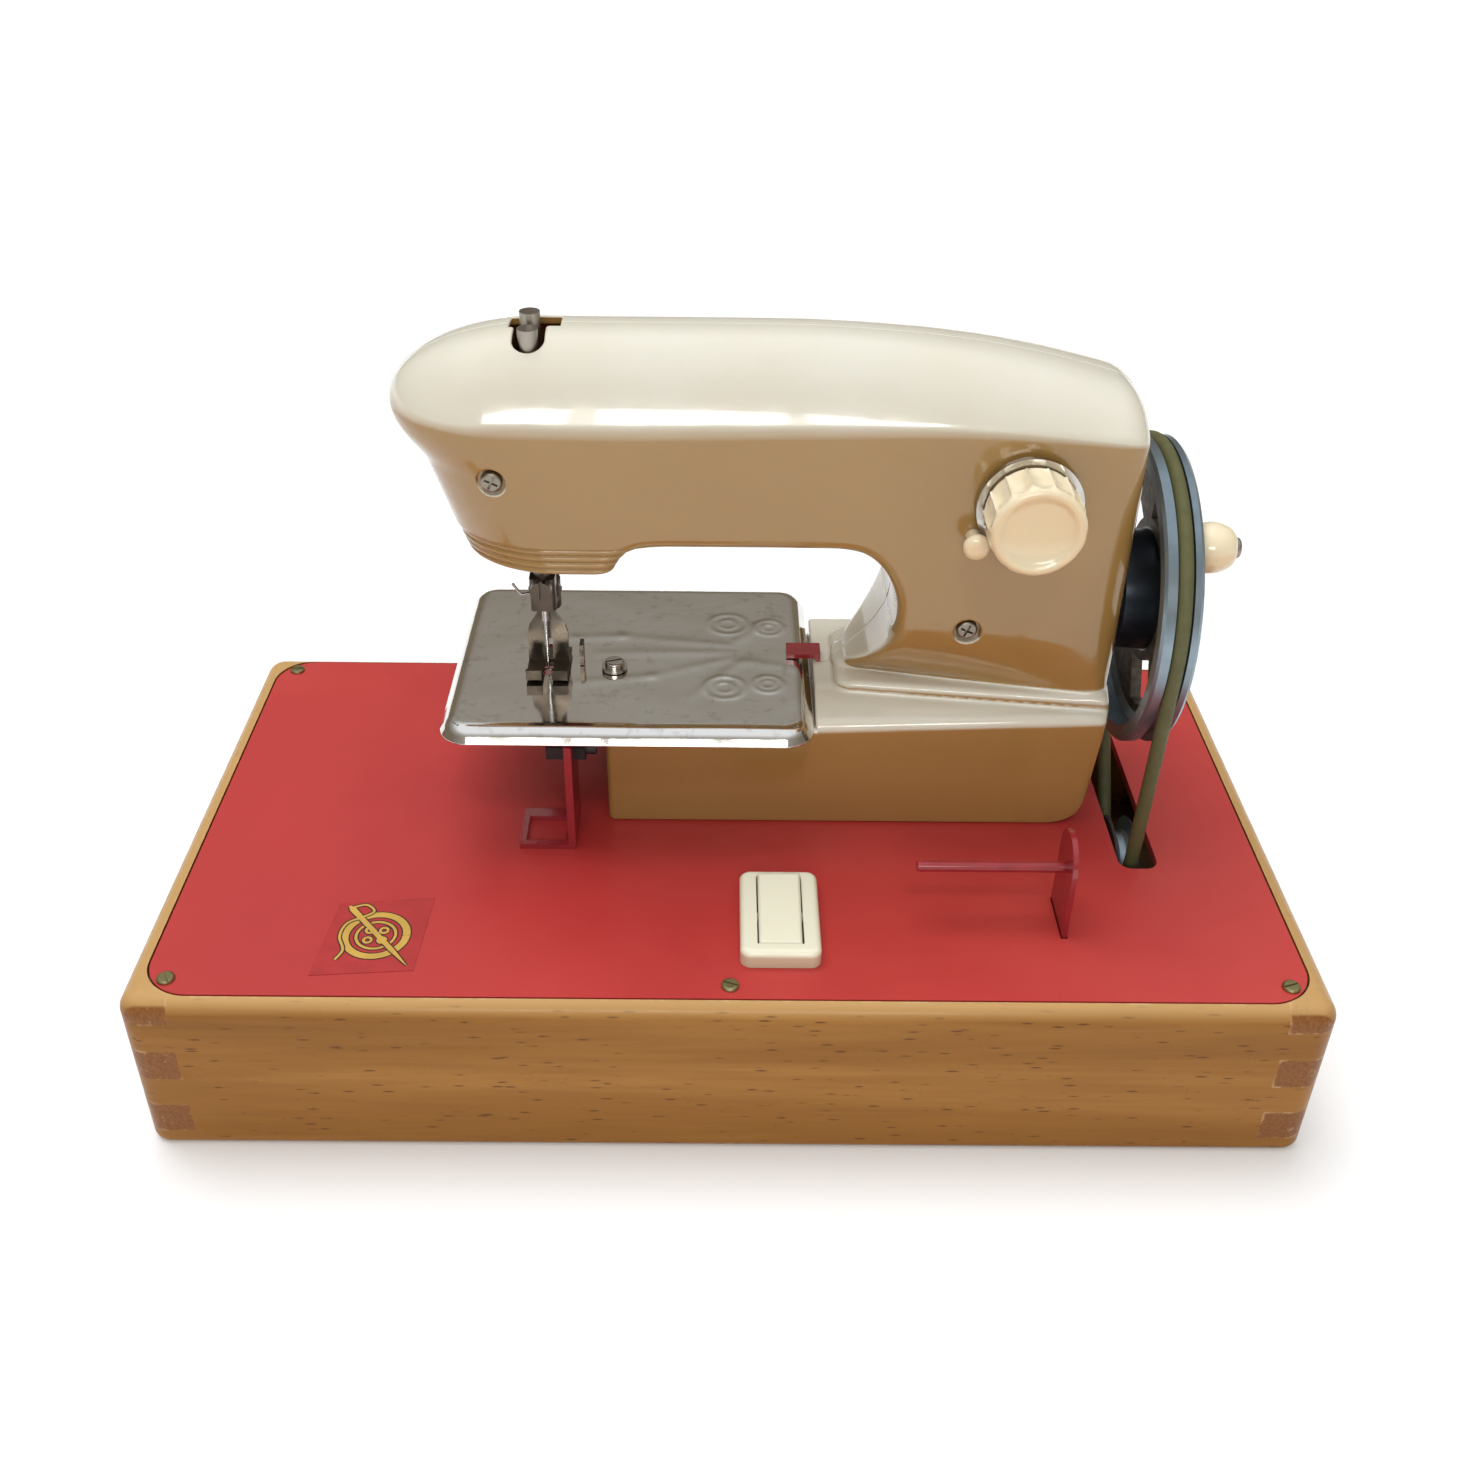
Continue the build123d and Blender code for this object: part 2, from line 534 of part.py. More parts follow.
def presser_foot():
    """Hinged-style foot: waisted shank plate and a slotted sole."""
    profile = [(126.5, 4.0), (125.0, 5.0), (122.0, 4.2), (119.0, 2.7), (116.5, 2.9), (112.5, 5.4),
               (110.0, 6.0), (101.0, 6.2)]
    with BuildSketch(Plane.XZ) as sk:
        with BuildLine():
            Polyline(*foot_outline(profile), close=True)
        make_face()
    shank = Pos(BAR_X, 15.2, 0) * extrude(sk.sketch, 1.2)
    left, right = BAR_X - 6.2, BAR_X + 6.2
    sole = box(left, right, 5.5, 22, 98.6, 100.1) + box(left, right, 14, 15.2, 100.1, 102)
    toe = box(left, right, 4.6, 5.7, 98.9, 102.2)
    socket = rod_z(4.2, 117.5, 126.5, BAR_X, PRESSER_Y) - rod_z(BAR_R, 118, 130, BAR_X, PRESSER_Y)
    foot = shank + sole + toe + (socket & box(-70, -40, 15.1, 30, 110, 130))
    needle_slot = box(BAR_X - 1.5, BAR_X + 1.5, 4, 13, 98, 103)
    return solid(foot - needle_slot - box(BAR_X - 1.3, BAR_X + 1.3, 13, 16, 101, 108))


# ------------------------------------------------------------- looper, feed
def looper_shaft():
    """Rocking shaft with the crank arm that the looper rod swings."""
    arm = box(76, 79, LOOPER_Y - LOOPER_ARM - 3, LOOPER_Y + 4, LOOPER_Z - 4, LOOPER_Z + 4)
    arm = fillet(arm.edges().filter_by(Axis.X), 3.4)
    arm = arm + rod_x(1.8, 72.2, 76, LOOPER_Y - LOOPER_ARM, LOOPER_Z)
    return solid(arm + rod_x(2.5, -56, 92, LOOPER_Y, LOOPER_Z))


def looper():
    """Hooked finger that catches the thread loop under the plate."""
    arm = box(-52.6, -50.6, 8, LOOPER_Y + 4, LOOPER_Z - 4, LOOPER_Z + 4)
    hook = box(-52.6, -50.6, 8, 12, LOOPER_Z, LOOPER_Z + 9)
    hook = hook + box(-52.6, -50.6, 8, 18, LOOPER_Z + 7, LOOPER_Z + 9)
    return solid(arm + hook - rod_x(2.5, -60, -40, LOOPER_Y, LOOPER_Z))


def looper_rod():
    """Second slide, moved by the looper crank, hooked to the looper arm."""
    x0, x1 = 73.0, 75.0
    head = box(x0, x1, 9, 31.5, AXIS_Z - 12, AXIS_Z + 12)
    head = head - box(x0 - 1, x1 + 1, 14.5, 26, AXIS_Z - 9, AXIS_Z + 9)
    stem = box(x0, x1, 9, 15, LOOPER_Z - 6, AXIS_Z - 12)
    pin_slot = box(x0 - 1, x1 + 1, LOOPER_Y - LOOPER_ARM - 3.2, LOOPER_Y - LOOPER_ARM + 3.2,
                   LOOPER_Z - 2.1, LOOPER_Z + 2.1)
    foot = box(x0, x1, 7, 17, LOOPER_Z - 6, LOOPER_Z + 6)
    return solid(head + stem + foot - pin_slot)


def feed_dog():
    """Toothed strip under the foot on its slide."""
    strip = box(BAR_X - 1.6, BAR_X + 1.6, 15.2, 25.2, 92, 97.6)
    slide = box(BAR_X - 2.4, BAR_X + 2.4, 13.8, 28, 90.5, 92)
    for i in range(6):
        strip = strip - Pos(BAR_X, 16.0 + 1.7 * i, 97.9) * Rot(45, 0, 0) * Box(5, 0.9, 0.9)
    return solid(strip + slide)


# -------------------------------------------------------------- bed fittings
def bed_plate():
    """Chromed cover plate with a turned-down rim."""
    x0, x1, y0, y1 = -85.2, 24.3, -22.0, 66.0
    w, d, drop = x1 - x0, y1 - y0, 4.8
    centre = ((x0 + x1) / 2, (y0 + y1) / 2)
    outer = extrude(RectangleRounded(w, d, 9), drop, taper=34)
    outer = fillet(outer.faces().sort_by(Axis.Z)[-1].edges(), 1.6)
    inner = extrude(RectangleRounded(w - 2, d - 2, 8.2), drop - 0.8, taper=34)
    plate = Pos(centre[0], centre[1], PLATE_TOP - drop) * (outer - inner)
    plate = plate - rod_z(1.6, 90, 100, BAR_X, NEEDLE_Y) - box(BAR_X - 2.4, BAR_X + 2.4, 13.4, 27, 90, 100)
    return solid(plate - rod_z(1.5, 90, 100, -35.5, 13) - box(16.5, 30, 18.5, 27.5, 97.1, 100))


def plate_screw():
    collar = rod_z(3.9, PLATE_TOP, PLATE_TOP + 1.0, -35.5, 13)
    head = fillet((rod_z(3.0, PLATE_TOP + 1.0, PLATE_TOP + 2.8, -35.5, 13)).edges().group_by(Axis.Z)[-1], 0.9)
    slot = Pos(-35.5, 13, PLATE_TOP + 2.8) * Rot(0, 0, 20) * Box(8, 0.7, 1.6)
    return solid(collar + head - slot + rod_z(1.4, 92, PLATE_TOP, -35.5, 13))


def seam_guide():
    return box(-46.1, -44.9, 14.5, 18.5, PLATE_TOP, PLATE_TOP + 7)


def plate_clip():
    """Stepped steel tongue from the bed that holds the plate's right edge."""
    clip = box(17, 27.5, 19.5, 26.5, PLATE_TOP, PLATE_TOP + 1.4)
    clip = clip + box(26.1, 27.5, 19.5, 26.5, 92.0, PLATE_TOP + 1.4) + box(26.1, 44, 19.5, 26.5, 91.2, 92.6)
    return solid(clip + box(36, 44, 19.5, CHASSIS_Y, 91.2, 92.6))


def bed_bracket():
    """Bent strip: framed foot on the deck, leg up to the bed plate."""
    y0, y1 = -20.8, -3.1
    foot = box(-63.4, -46.4, y0, y1, DECK_TOP, DECK_TOP + 1.8)
    foot = foot - box(-61.6, -49.6, y0 + 2, y1 - 4, 50, 60)
    leg = box(-48.6, -46.4, y0, y1, DECK_TOP, 92) + box(-48.6, -46.4, y0 + 7, y1, 92, BED_TOP)
    arm = box(-48.6, -40, y0 + 7, y1, BED_TOP - 2.2, BED_TOP)
    outer_bend = (foot + leg).edges().filter_by(Axis.Y).sort_by(lambda e: e.center().Z - e.center().X)[0]
    return solid(fillet(outer_bend, 1.5) + arm - rod_x(2.1, -60, -40, -9, 84))


def bracket_bolt():
    """Hex bolt through the leg, with its nut."""
    y, z = -9, 84
    head = Pos(-54.8, y, z) * Rot(0, 90, 0) * extrude(RegularPolygon(4.0, 6), 6.2)
    bolt = head + rod_x(2.0, -48.6, -40, y, z)
    nut = Pos(-46.4, y, z) * Rot(0, 90, 0) * extrude(RegularPolygon(4.0, 6), 3.2) - rod_x(2.0, -60, -30, y, z)
    return joined([bolt, nut])


# --------------------------------------------------- handwheel and shaft
def ring_x(points):
    """Revolve an (x, radius) outline about the shaft axis."""
    with BuildSketch(Plane.XZ) as sk:
        with BuildLine():
            Polyline(*points, close=True)
        make_face()
    return revolve(sk.sketch, Axis.X, 360)


def handwheel():
    groove_r = BELT_ON_WHEEL - BELT_R - GROOVE_CLEAR
    g0, g1 = BELT_X - BELT_R - GROOVE_CLEAR, BELT_X + BELT_R + GROOVE_CLEAR
    web0, web1 = 123.4, 126.6
    rim = ring_x([(WHEEL_X0, 41.0), (WHEEL_X0, WHEEL_R - 0.8), (WHEEL_X0 + 0.8, WHEEL_R), (g0, WHEEL_R),
                  (g0 + 0.2, groove_r + 0.8), (g0 + 1.2, groove_r), (g1 - 1.2, groove_r),
                  (g1 - 0.2, groove_r + 0.8), (g1, WHEEL_R), (WHEEL_X1 - 1.0, WHEEL_R),
                  (WHEEL_X1, WHEEL_R - 1.0), (WHEEL_X1, 38.5), (web1, 37.5), (web1, 18), (web0, 18),
                  (web0, 38.0), (122, 40.3)])
    hub = ring_x([(112.8, SHAFT_R), (112.8, 16.6), (113.6, 17.4), (web1, 18.2), (web1, 9.5),
                  (129.2, 8.5), (129.2, SHAFT_R)])
    wheel = rim + hub
    window = ring_x([(121, 21.5), (121, 35), (129, 35), (129, 21.5)])
    for i in range(5):
        ray = Rot(72 * i + 10, 0, 0) * box(100, 140, -9, 9, 0, 60)
        wheel = wheel - (window & ray)
    wheel = Pos(0, AXIS_Y, AXIS_Z) * wheel
    boss = rod_x(5, web1 - 0.1, WHEEL_X1, CRANK_KNOB_Y, CRANK_KNOB_Z)
    return solid(wheel + boss - rod_x(1.8, 110, 140, CRANK_KNOB_Y, CRANK_KNOB_Z))


def crank_spindle():
    """Riveted pin that the crank knob turns on."""
    y, z = CRANK_KNOB_Y, CRANK_KNOB_Z
    pin = rod_x(1.8, 123.0, 139.2, y, z) + rod_x(2.7, 122.6, 123.4, y, z)
    return pin + fillet(rod_x(2.9, 139.2, 140.4, y, z).edges().group_by(Axis.X)[-1], 0.8)


def crank_knob():
    points = [(127.9, 5.6), (129.5, 7.0), (132.5, 7.2), (136.5, 6.0), (138.9, 3.8),
              (138.9, 1.85), (127.9, 1.85)]
    return Pos(0, CRANK_KNOB_Y, CRANK_KNOB_Z) * ring_x(points)


def main_shaft():
    return rod_x(SHAFT_R, 57.0, 129.2, AXIS_Y, AXIS_Z)


def wheel_nut():
    nut = Pos(129.2, AXIS_Y, AXIS_Z) * Rot(0, 90, 0) * extrude(RegularPolygon(5.5, 6), 3.4)
    return solid(nut - rod_x(2.0, 129, 134, AXIS_Y, AXIS_Z)) + rod_x(2.0, 129.2, 133.4, AXIS_Y, AXIS_Z)


def crank_discs():
    """Needle crank on the shaft end and looper crank beside it, each with a stub pin."""
    needle_disc = rod_x(12, 54.0, 58.5, AXIS_Y, AXIS_Z) - rod_x(SHAFT_R, 57, 60, AXIS_Y, AXIS_Z)
    needle_disc = needle_disc + rod_x(1.9, 53.3, 54.0, AXIS_Y - CRANK_R, AXIS_Z)
    looper_disc = rod_x(10.5, 76.6, 80.6, AXIS_Y, AXIS_Z) - rod_x(SHAFT_R, 76, 81, AXIS_Y, AXIS_Z)
    looper_disc = looper_disc + rod_x(1.2, 75.4, 76.6, AXIS_Y + 6, AXIS_Z)
    return joined([needle_disc, looper_disc])


# ------------------------------------------------------- belt and motor
def belt_tangents():
    """Tangent points of the open belt: (wheel point, pulley point) per run."""
    dy, dz = MOTOR_Y - AXIS_Y, MOTOR_Z - AXIS_Z
    span = math.hypot(dy, dz)
    line = math.atan2(dz, dy)
    lean = math.acos((BELT_ON_WHEEL - BELT_ON_PULLEY) / span)
    runs = []
    for side in (-1, 1):
        ny, nz = math.cos(line + side * lean), math.sin(line + side * lean)
        runs.append(((AXIS_Y + BELT_ON_WHEEL * ny, AXIS_Z + BELT_ON_WHEEL * nz),
                     (MOTOR_Y + BELT_ON_PULLEY * ny, MOTOR_Z + BELT_ON_PULLEY * nz)))
    return runs


def in_belt_plane(point):
    return BELT_X, point[0], point[1]


def drive_belt():
    """Endless round belt: two straight runs and the arcs round both grooves."""
    (wheel_a, pulley_a), (wheel_b, pulley_b) = [[in_belt_plane(p) for p in run] for run in belt_tangents()]
    over_wheel = in_belt_plane((AXIS_Y, AXIS_Z + BELT_ON_WHEEL))
    reach = BELT_ON_PULLEY / math.hypot(MOTOR_Y - AXIS_Y, MOTOR_Z - AXIS_Z)
    under_pulley = in_belt_plane((MOTOR_Y + reach * (MOTOR_Y - AXIS_Y), MOTOR_Z + reach * (MOTOR_Z - AXIS_Z)))
    loop = Wire([Edge.make_line(pulley_a, wheel_a),
                 Edge.make_three_point_arc(wheel_a, over_wheel, wheel_b),
                 Edge.make_line(wheel_b, pulley_b),
                 Edge.make_three_point_arc(pulley_b, under_pulley, pulley_a)])
    start = Plane(origin=loop @ 0, z_dir=loop % 0)
    return sweep(start * Circle(BELT_R), path=loop)


def motor_pulley():
    groove_r = BELT_ON_PULLEY - BELT_R - GROOVE_CLEAR
    g0, g1 = BELT_X - BELT_R - GROOVE_CLEAR, BELT_X + BELT_R + GROOVE_CLEAR
    profile = [(119.0, MOTOR_SHAFT_R), (119.0, PULLEY_R - 0.6), (119.6, PULLEY_R), (g0 - 0.5, PULLEY_R - 0.3),
               (g0 + 0.3, groove_r + 0.8), (g0 + 1.4, groove_r), (g1 - 1.4, groove_r),
               (g1 - 0.3, groove_r + 0.8), (g1 + 0.5, PULLEY_R - 0.3), (125.4, PULLEY_R),
               (126.0, PULLEY_R - 0.6), (126.0, MOTOR_SHAFT_R)]
    return Pos(0, MOTOR_Y, MOTOR_Z) * ring_x(profile)


def motor_shaft():
    return rod_x(MOTOR_SHAFT_R, MOTOR_FACE_X - 20, 127.5, MOTOR_Y, MOTOR_Z)


def motor_body():
    back_x = MOTOR_FACE_X - MOTOR_L
    can = rod_x(MOTOR_R, back_x, MOTOR_FACE_X, MOTOR_Y, MOTOR_Z)
    can = fillet(can.edges().group_by(Axis.X)[0], 2.0)
    can = can + rod_x(4, MOTOR_FACE_X, 114.4, MOTOR_Y, MOTOR_Z)
    tags = [box(back_x - 4, back_x + 1, y - 1.2, y + 1.2, MOTOR_Z - 0.4, MOTOR_Z + 0.4)
            for y in (MOTOR_Y - 7, MOTOR_Y + 7)]
    bore = rod_x(MOTOR_SHAFT_R + RUN_CLEAR, MOTOR_FACE_X - 20.2, 130, MOTOR_Y, MOTOR_Z)
    return solid(can + tags - bore)


def motor_bracket():
    """Upright plate under the deck with two ears turned back."""
    x0, x1 = MOTOR_FACE_X, MOTOR_FACE_X + SHEET
    plate = box(x0, x1, -36, 24, 36, DECK_BOTTOM) + rod_x(16, x0, x1, MOTOR_Y, MOTOR_Z)
    plate = plate & box(x0, x1, -40, 30, 20, DECK_BOTTOM)
    ears = [box(x0 - 10, x1, y0, y0 + 14, DECK_BOTTOM - SHEET, DECK_BOTTOM) for y0 in (-36, 10)]
    bracket = plate + ears - rod_x(4.0, 100, 120, MOTOR_Y, MOTOR_Z)
    return solid(bracket - [rod_z(1.5, 40, 60, x, y) for x, y in MOTOR_EAR_XY])


# ----------------------------------------------------------- power inside
def battery_tray():
    floor_z = BOTTOM_Z + BOTTOM_T
    tray = box(TRAY_X0, TRAY_X1, -38, 38, floor_z, floor_z + 26)
    tray = tray - box(TRAY_X0 + 2, TRAY_X1 - 2, -35.8, -0.8, floor_z + 1.7, 60)
    return solid(tray - box(TRAY_X0 + 2, TRAY_X1 - 2, 0.8, 35.8, floor_z + 1.7, 60))


def battery_cells():
    x0 = TRAY_X0 + 5
    cells = []
    for y in CELL_YS:
        can = fillet(rod_x(CELL_R, x0, x0 + CELL_L - 1.5, y, CELL_Z).edges(), 1.2)
        cells.append(can + rod_x(4.5, x0 + CELL_L - 1.5, x0 + CELL_L, y, CELL_Z))
    return joined(cells)


def battery_contacts():
    """Spring strips at both ends of each cell; the right ones carry a solder tab."""
    strips = []
    for y in CELL_YS:
        strip = box(TRAY_X1 - 5.0, TRAY_X1 - 4.4, y - 5, y + 5, CELL_Z - 8, CELL_Z + 10)
        strips.append(strip + box(TRAY_X1 - 5.0, TRAY_X1 - 2.0, y - 5, y + 5, CELL_Z + 8.4, CELL_Z + 9))
        strips.append(box(TRAY_X0 + 4.2, TRAY_X0 + 4.9, y - 5, y + 5, CELL_Z - 8, CELL_Z + 10))
    return joined(strips)


def wire(points, radius):
    path = FilletPolyline(*points, radius=8)
    return sweep(Plane(path @ 0, z_dir=path % 0) * Circle(radius), path=path)


def leads():
    """Three insulated wires under the deck: cell to switch, switch to motor, motor to cell."""
    r = 0.8
    tag_z = 38.0
    cell_z = CELL_Z + 9 + r + 0.1
    cell_x = TRAY_X1 - 3
    motor_x = MOTOR_FACE_X - MOTOR_L - 4.9
    left, right = SWITCH_X - 14.1, SWITCH_X + 14.1
    first = wire([(cell_x, -18, cell_z), (cell_x + 25, -18, cell_z + 3), (-20, -36, 40), (left, -45, tag_z)], r)
    second = wire([(right, -50, tag_z), (42, -48, 40), (56, -28, tag_z), (motor_x, -13, MOTOR_Z)], r)
    third = wire([(motor_x, 1, MOTOR_Z), (45, 10, 36), (-20, 22, 34), (cell_x, 18, cell_z)], r)
    return joined([first, second, third])


# ------------------------------------------------------------- switch
def switch_frame():
    frame = Pos(SWITCH_X, SWITCH_Y, DECK_TOP) * extrude(RectangleRounded(SWITCH_W, SWITCH_L, 3.2), SWITCH_H)
    frame = fillet(frame.faces().sort_by(Axis.Z)[-1].edges(), 2.0)
    body = box(SWITCH_BODY[0], SWITCH_BODY[1], SWITCH_BODY[2], SWITCH_BODY[3], 36, DECK_TOP)
    well = box(SWITCH_X - 6.5, SWITCH_X + 6.5, ROCKER_Y0 - 0.5, ROCKER_Y1 + 1.1, 45, 70)
    tags = [box(SWITCH_X + s * 11 - 2.2, SWITCH_X + s * 11 + 2.2, y - 1.5, y + 1.5, 37.6, 38.4)
            for s, y in ((-1, -45), (1, -50))]
    sockets = rod_x(1.65, SWITCH_X - 8, SWITCH_X + 8, ROCKER_MID, ROCKER_PIVOT_Z)
    return solid(frame + body + tags - well - sockets)


def switch_rocker():
    """Rocker with its near end pressed; pivots ride in the frame."""
    with BuildSketch(Plane.YZ.offset(SWITCH_X - 6.1)) as sk:
        with BuildLine():
            Polyline((ROCKER_Y0, 59.8), (ROCKER_Y1, 63.0), (ROCKER_Y1 - 0.4, 59.4),
                     (ROCKER_MID + 4, 50.5), (ROCKER_MID - 4, 50.5), (ROCKER_Y0, 55.4), close=True)
        make_face()
    rocker = extrude(sk.sketch, 12.2)
    rocker = fillet(rocker.faces().sort_by(Axis.Z)[-1].edges(), 1.1)
    return solid(rocker + rod_x(1.6, SWITCH_X - 7.9, SWITCH_X + 7.9, ROCKER_MID, ROCKER_PIVOT_Z))


# -------------------------------------------------------- spool, emblem
def spool_bracket():
    half, thick = 8.6, 1.5
    x0 = SPOOL_X - thick / 2
    top = 85.0
    tab = box(x0, x0 + thick, SPOOL_Y - half, SPOOL_Y + half, 46, top - half)
    tab = tab + rod_x(half, x0, x0 + thick, SPOOL_Y, top - half)
    foot = box(x0, x0 + 14, SPOOL_Y - half, SPOOL_Y + half, DECK_BOTTOM - thick, DECK_BOTTOM)
    tab = tab & box(0, 200, -100, 0, DECK_BOTTOM - thick, 100)
    return solid(tab + foot - rod_x(SPOOL_NECK_R, 80, 110, SPOOL_Y, SPOOL_PIN_Z))


def spool_pin():
    """Plain pin with a neck riveted through the bracket."""
    pin = rod_x(SPOOL_PIN_R, SPOOL_PIN_X0, SPOOL_PIN_X1, SPOOL_Y, SPOOL_PIN_Z)
    pin = chamfer(pin.edges().group_by(Axis.X)[0], 0.4)
    return pin + rod_x(SPOOL_NECK_R, SPOOL_PIN_X1, SPOOL_X + 1.4, SPOOL_Y, SPOOL_PIN_Z)


def emblem_film():
    with BuildSketch(Plane.XY.offset(DECK_TOP)) as sk:
        with BuildLine():
            Polyline((-114.9, -76.3), (-86.7, -74.0), (-85.4, -43.6), (-112.3, -46.6), close=True)
        make_face()
    return extrude(sk.sketch, 0.15)


# --------------------------------------------------------- thread tension
def tension_stud():
    return rod_y(2.0, FACE_Y - 15.0, 4.0, KNOB_X, KNOB_Z) + rod_y(4.5, 1.0, 4.0, KNOB_X, KNOB_Z)


def tension_discs():
    discs = []
    for y0, y1 in ((FACE_Y - 2.2, FACE_Y - 1.4), (FACE_Y - 3.2, FACE_Y - 2.4)):
        discs.append(rod_y(14.6, y0, y1, KNOB_X, KNOB_Z) - rod_y(2.05, y0 - 1, y1 + 1, KNOB_X, KNOB_Z))
    seat = rod_y(6, FACE_Y - 1.4, FACE_Y, KNOB_X, KNOB_Z) - rod_y(2.05, -20, 0, KNOB_X, KNOB_Z)
    return joined(discs + [seat])


def tension_spring():
    path = Helix(pitch=1.9, height=5.6, radius=4.6)
    coil = sweep(Plane(path @ 0, z_dir=path % 0) * Circle(0.4), path=path, is_frenet=True)
    return Pos(KNOB_X, FACE_Y - 3.7, KNOB_Z) * Rot(90, 0, 0) * coil


def tension_knob():
    """Scalloped hand nut with a dished face."""
    back = FACE_Y - 4.2
    front = back - KNOB_L
    knob = rod_y(KNOB_R, front, back, KNOB_X, KNOB_Z)
    knob = fillet(knob.edges().group_by(Axis.Y)[0], 1.6)
    for i in range(SCALLOPS):
        angle = 2 * math.pi * i / SCALLOPS
        x, z = KNOB_X + (KNOB_R + 2) * math.cos(angle), KNOB_Z + (KNOB_R + 2) * math.sin(angle)
        knob = knob - rod_y(3.0, front - 1, back - 2.4, x, z)
    dish = Pos(KNOB_X, front - 28.2, KNOB_Z) * Sphere(30)
    knob = knob - dish - rod_y(7.0, back - 7.0, back + 1, KNOB_X, KNOB_Z)
    return solid(knob - rod_y(2.05, back - 11.2, back + 1, KNOB_X, KNOB_Z))


def thread_peg():
    peg = rod_y(2.3, FACE_Y - 5.0, FACE_Y, PEG_X, PEG_Z) + rod_y(3.3, FACE_Y - 7.2, FACE_Y - 4.6, PEG_X, PEG_Z)
    peg = fillet(peg.edges().group_by(Axis.Y)[0], 1.0)
    return peg + rod_y(1.55, FACE_Y, 1.5, PEG_X, PEG_Z)


def build():
    nodes = {}
    nodes.update(base_boards())
    nodes.update(head_shells())
    single = [deck_panel, wood_screws, bottom_panel, shell_screws, frame_screws, chassis, shaft_bushes,
              lever_stud, needle_lever, needle_yoke, needle_bar, needle_bar_collar, needle_clamp,
              clamp_screw, needle, thread_guide, presser_bar, presser_spring, presser_foot, looper_shaft,
              looper, looper_rod, feed_dog, bed_plate, plate_screw, seam_guide, plate_clip, bed_bracket,
              bracket_bolt, handwheel, crank_spindle, crank_knob, main_shaft, wheel_nut, crank_discs,
              drive_belt, motor_pulley, motor_shaft, motor_body, motor_bracket, battery_tray,
              battery_cells, battery_contacts, leads, switch_frame, switch_rocker, spool_bracket,
              spool_pin, emblem_film, tension_stud, tension_discs, tension_spring, tension_knob, thread_peg]
    for make in single:
        nodes[make.__name__] = make()
    return nodes


os.makedirs("parts", exist_ok=True)
for name, shape in build().items():
    export_step(shape, f"parts/{name}.step")
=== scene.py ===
"""Looks of the child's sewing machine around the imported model; shapes are worked out in millimetres."""

import json
import math

import bmesh
import bpy
import numpy as np
from mathutils import Matrix, Vector


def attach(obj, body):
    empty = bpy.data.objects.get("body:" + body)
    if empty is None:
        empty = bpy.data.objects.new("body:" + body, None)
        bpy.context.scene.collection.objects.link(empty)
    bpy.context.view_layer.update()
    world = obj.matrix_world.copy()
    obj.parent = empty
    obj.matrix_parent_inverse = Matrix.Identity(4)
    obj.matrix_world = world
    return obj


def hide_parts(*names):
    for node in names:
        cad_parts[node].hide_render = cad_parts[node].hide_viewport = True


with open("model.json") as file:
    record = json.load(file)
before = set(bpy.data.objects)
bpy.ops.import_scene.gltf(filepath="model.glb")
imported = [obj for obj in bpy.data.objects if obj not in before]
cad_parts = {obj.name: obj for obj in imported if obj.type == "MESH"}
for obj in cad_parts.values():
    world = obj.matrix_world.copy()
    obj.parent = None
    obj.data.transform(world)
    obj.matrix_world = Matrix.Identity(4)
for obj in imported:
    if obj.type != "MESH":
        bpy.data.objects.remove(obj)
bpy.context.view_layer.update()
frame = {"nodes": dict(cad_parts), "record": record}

MM = 0.001

# Head shells: planes, sizes and places that several functions share.
MID_Y = 20.0
HALF_DEPTH = 24.0
WALL = 2.4
NOSE_LENGTH, NOSE_END, NOSE_FLOOR = 30.0, -95.6, 138.8
CROWN_POWER = 2.8
CREST_FALL_X = -52.0
PILLAR_X = 112.4
DECK_Z = 54.7
BED_LEFT, BED_RIGHT = -37.5, 109.0
BED_NEAR, BED_FAR = -6.5, 47.5
BED_Z = 97.2
ROOT_Z = 92.0
LEDGE_Z = 90.5
LEDGE_X = 25.0
PLINTH_LEFT, PLINTH_RIGHT, PLINTH_TOP = 31.0, 112.2, 100.2
NOSE_SCREW = (-66.0, 167.0)
PILLAR_SCREW = (67.5, 122.0)
POST_RADIUS, RECESS_RADIUS, RECESS_DEPTH = 5.2, 4.0, 3.2
BARS_X = -55.3
SHAFT_Y, SHAFT_Z = 20.3, 123.5
HALF_SEAM = 0.07

# Camera fitted to the base in the photo; angles in radians.
SENSOR, LENS = 36.0, 37.94
TURN, FALL, ROLL = -0.01009, 0.60272, 0.01492
CAMERA_AT = (-4.56, -382.60, 348.47)

# Lights in metres and degrees: direction, energy, spread and colour of each sun, then the window's panes.
SUNS = {"overhead": ((-0.22, 0.30, 1.0), 1.95, 44, (0.95, 0.98, 1.0)),
        "front": ((0.05, -0.62, 1.0), 0.40, 7, (1.0, 0.98, 0.95))}
PANES, PANE_LEFT, PANE_PITCH = 3, -0.25, 0.21
PANE_Y, PANE_Z, PANE_TARGET_Z = -1.15, 0.68, 0.12
PANE_SIZE, PANE_POWER, PANE_COLOR = (0.18, 0.22), 1.4, (1.0, 0.97, 0.93)
FLOOR_REACH = 8.0
# Colours of the room from the horizon at 0 to straight overhead at 1.
ROOM = [(0.0, (0.22, 0.165, 0.11)), (0.35, (0.20, 0.165, 0.12)), (0.64, (0.40, 0.38, 0.34)),
        (0.85, (0.95, 0.97, 1.0))]


# ---------------------------------------------------------------- camera and light
def add_object(name, data):
    made = bpy.data.objects.new(name, data)
    bpy.context.scene.collection.objects.link(made)
    return made


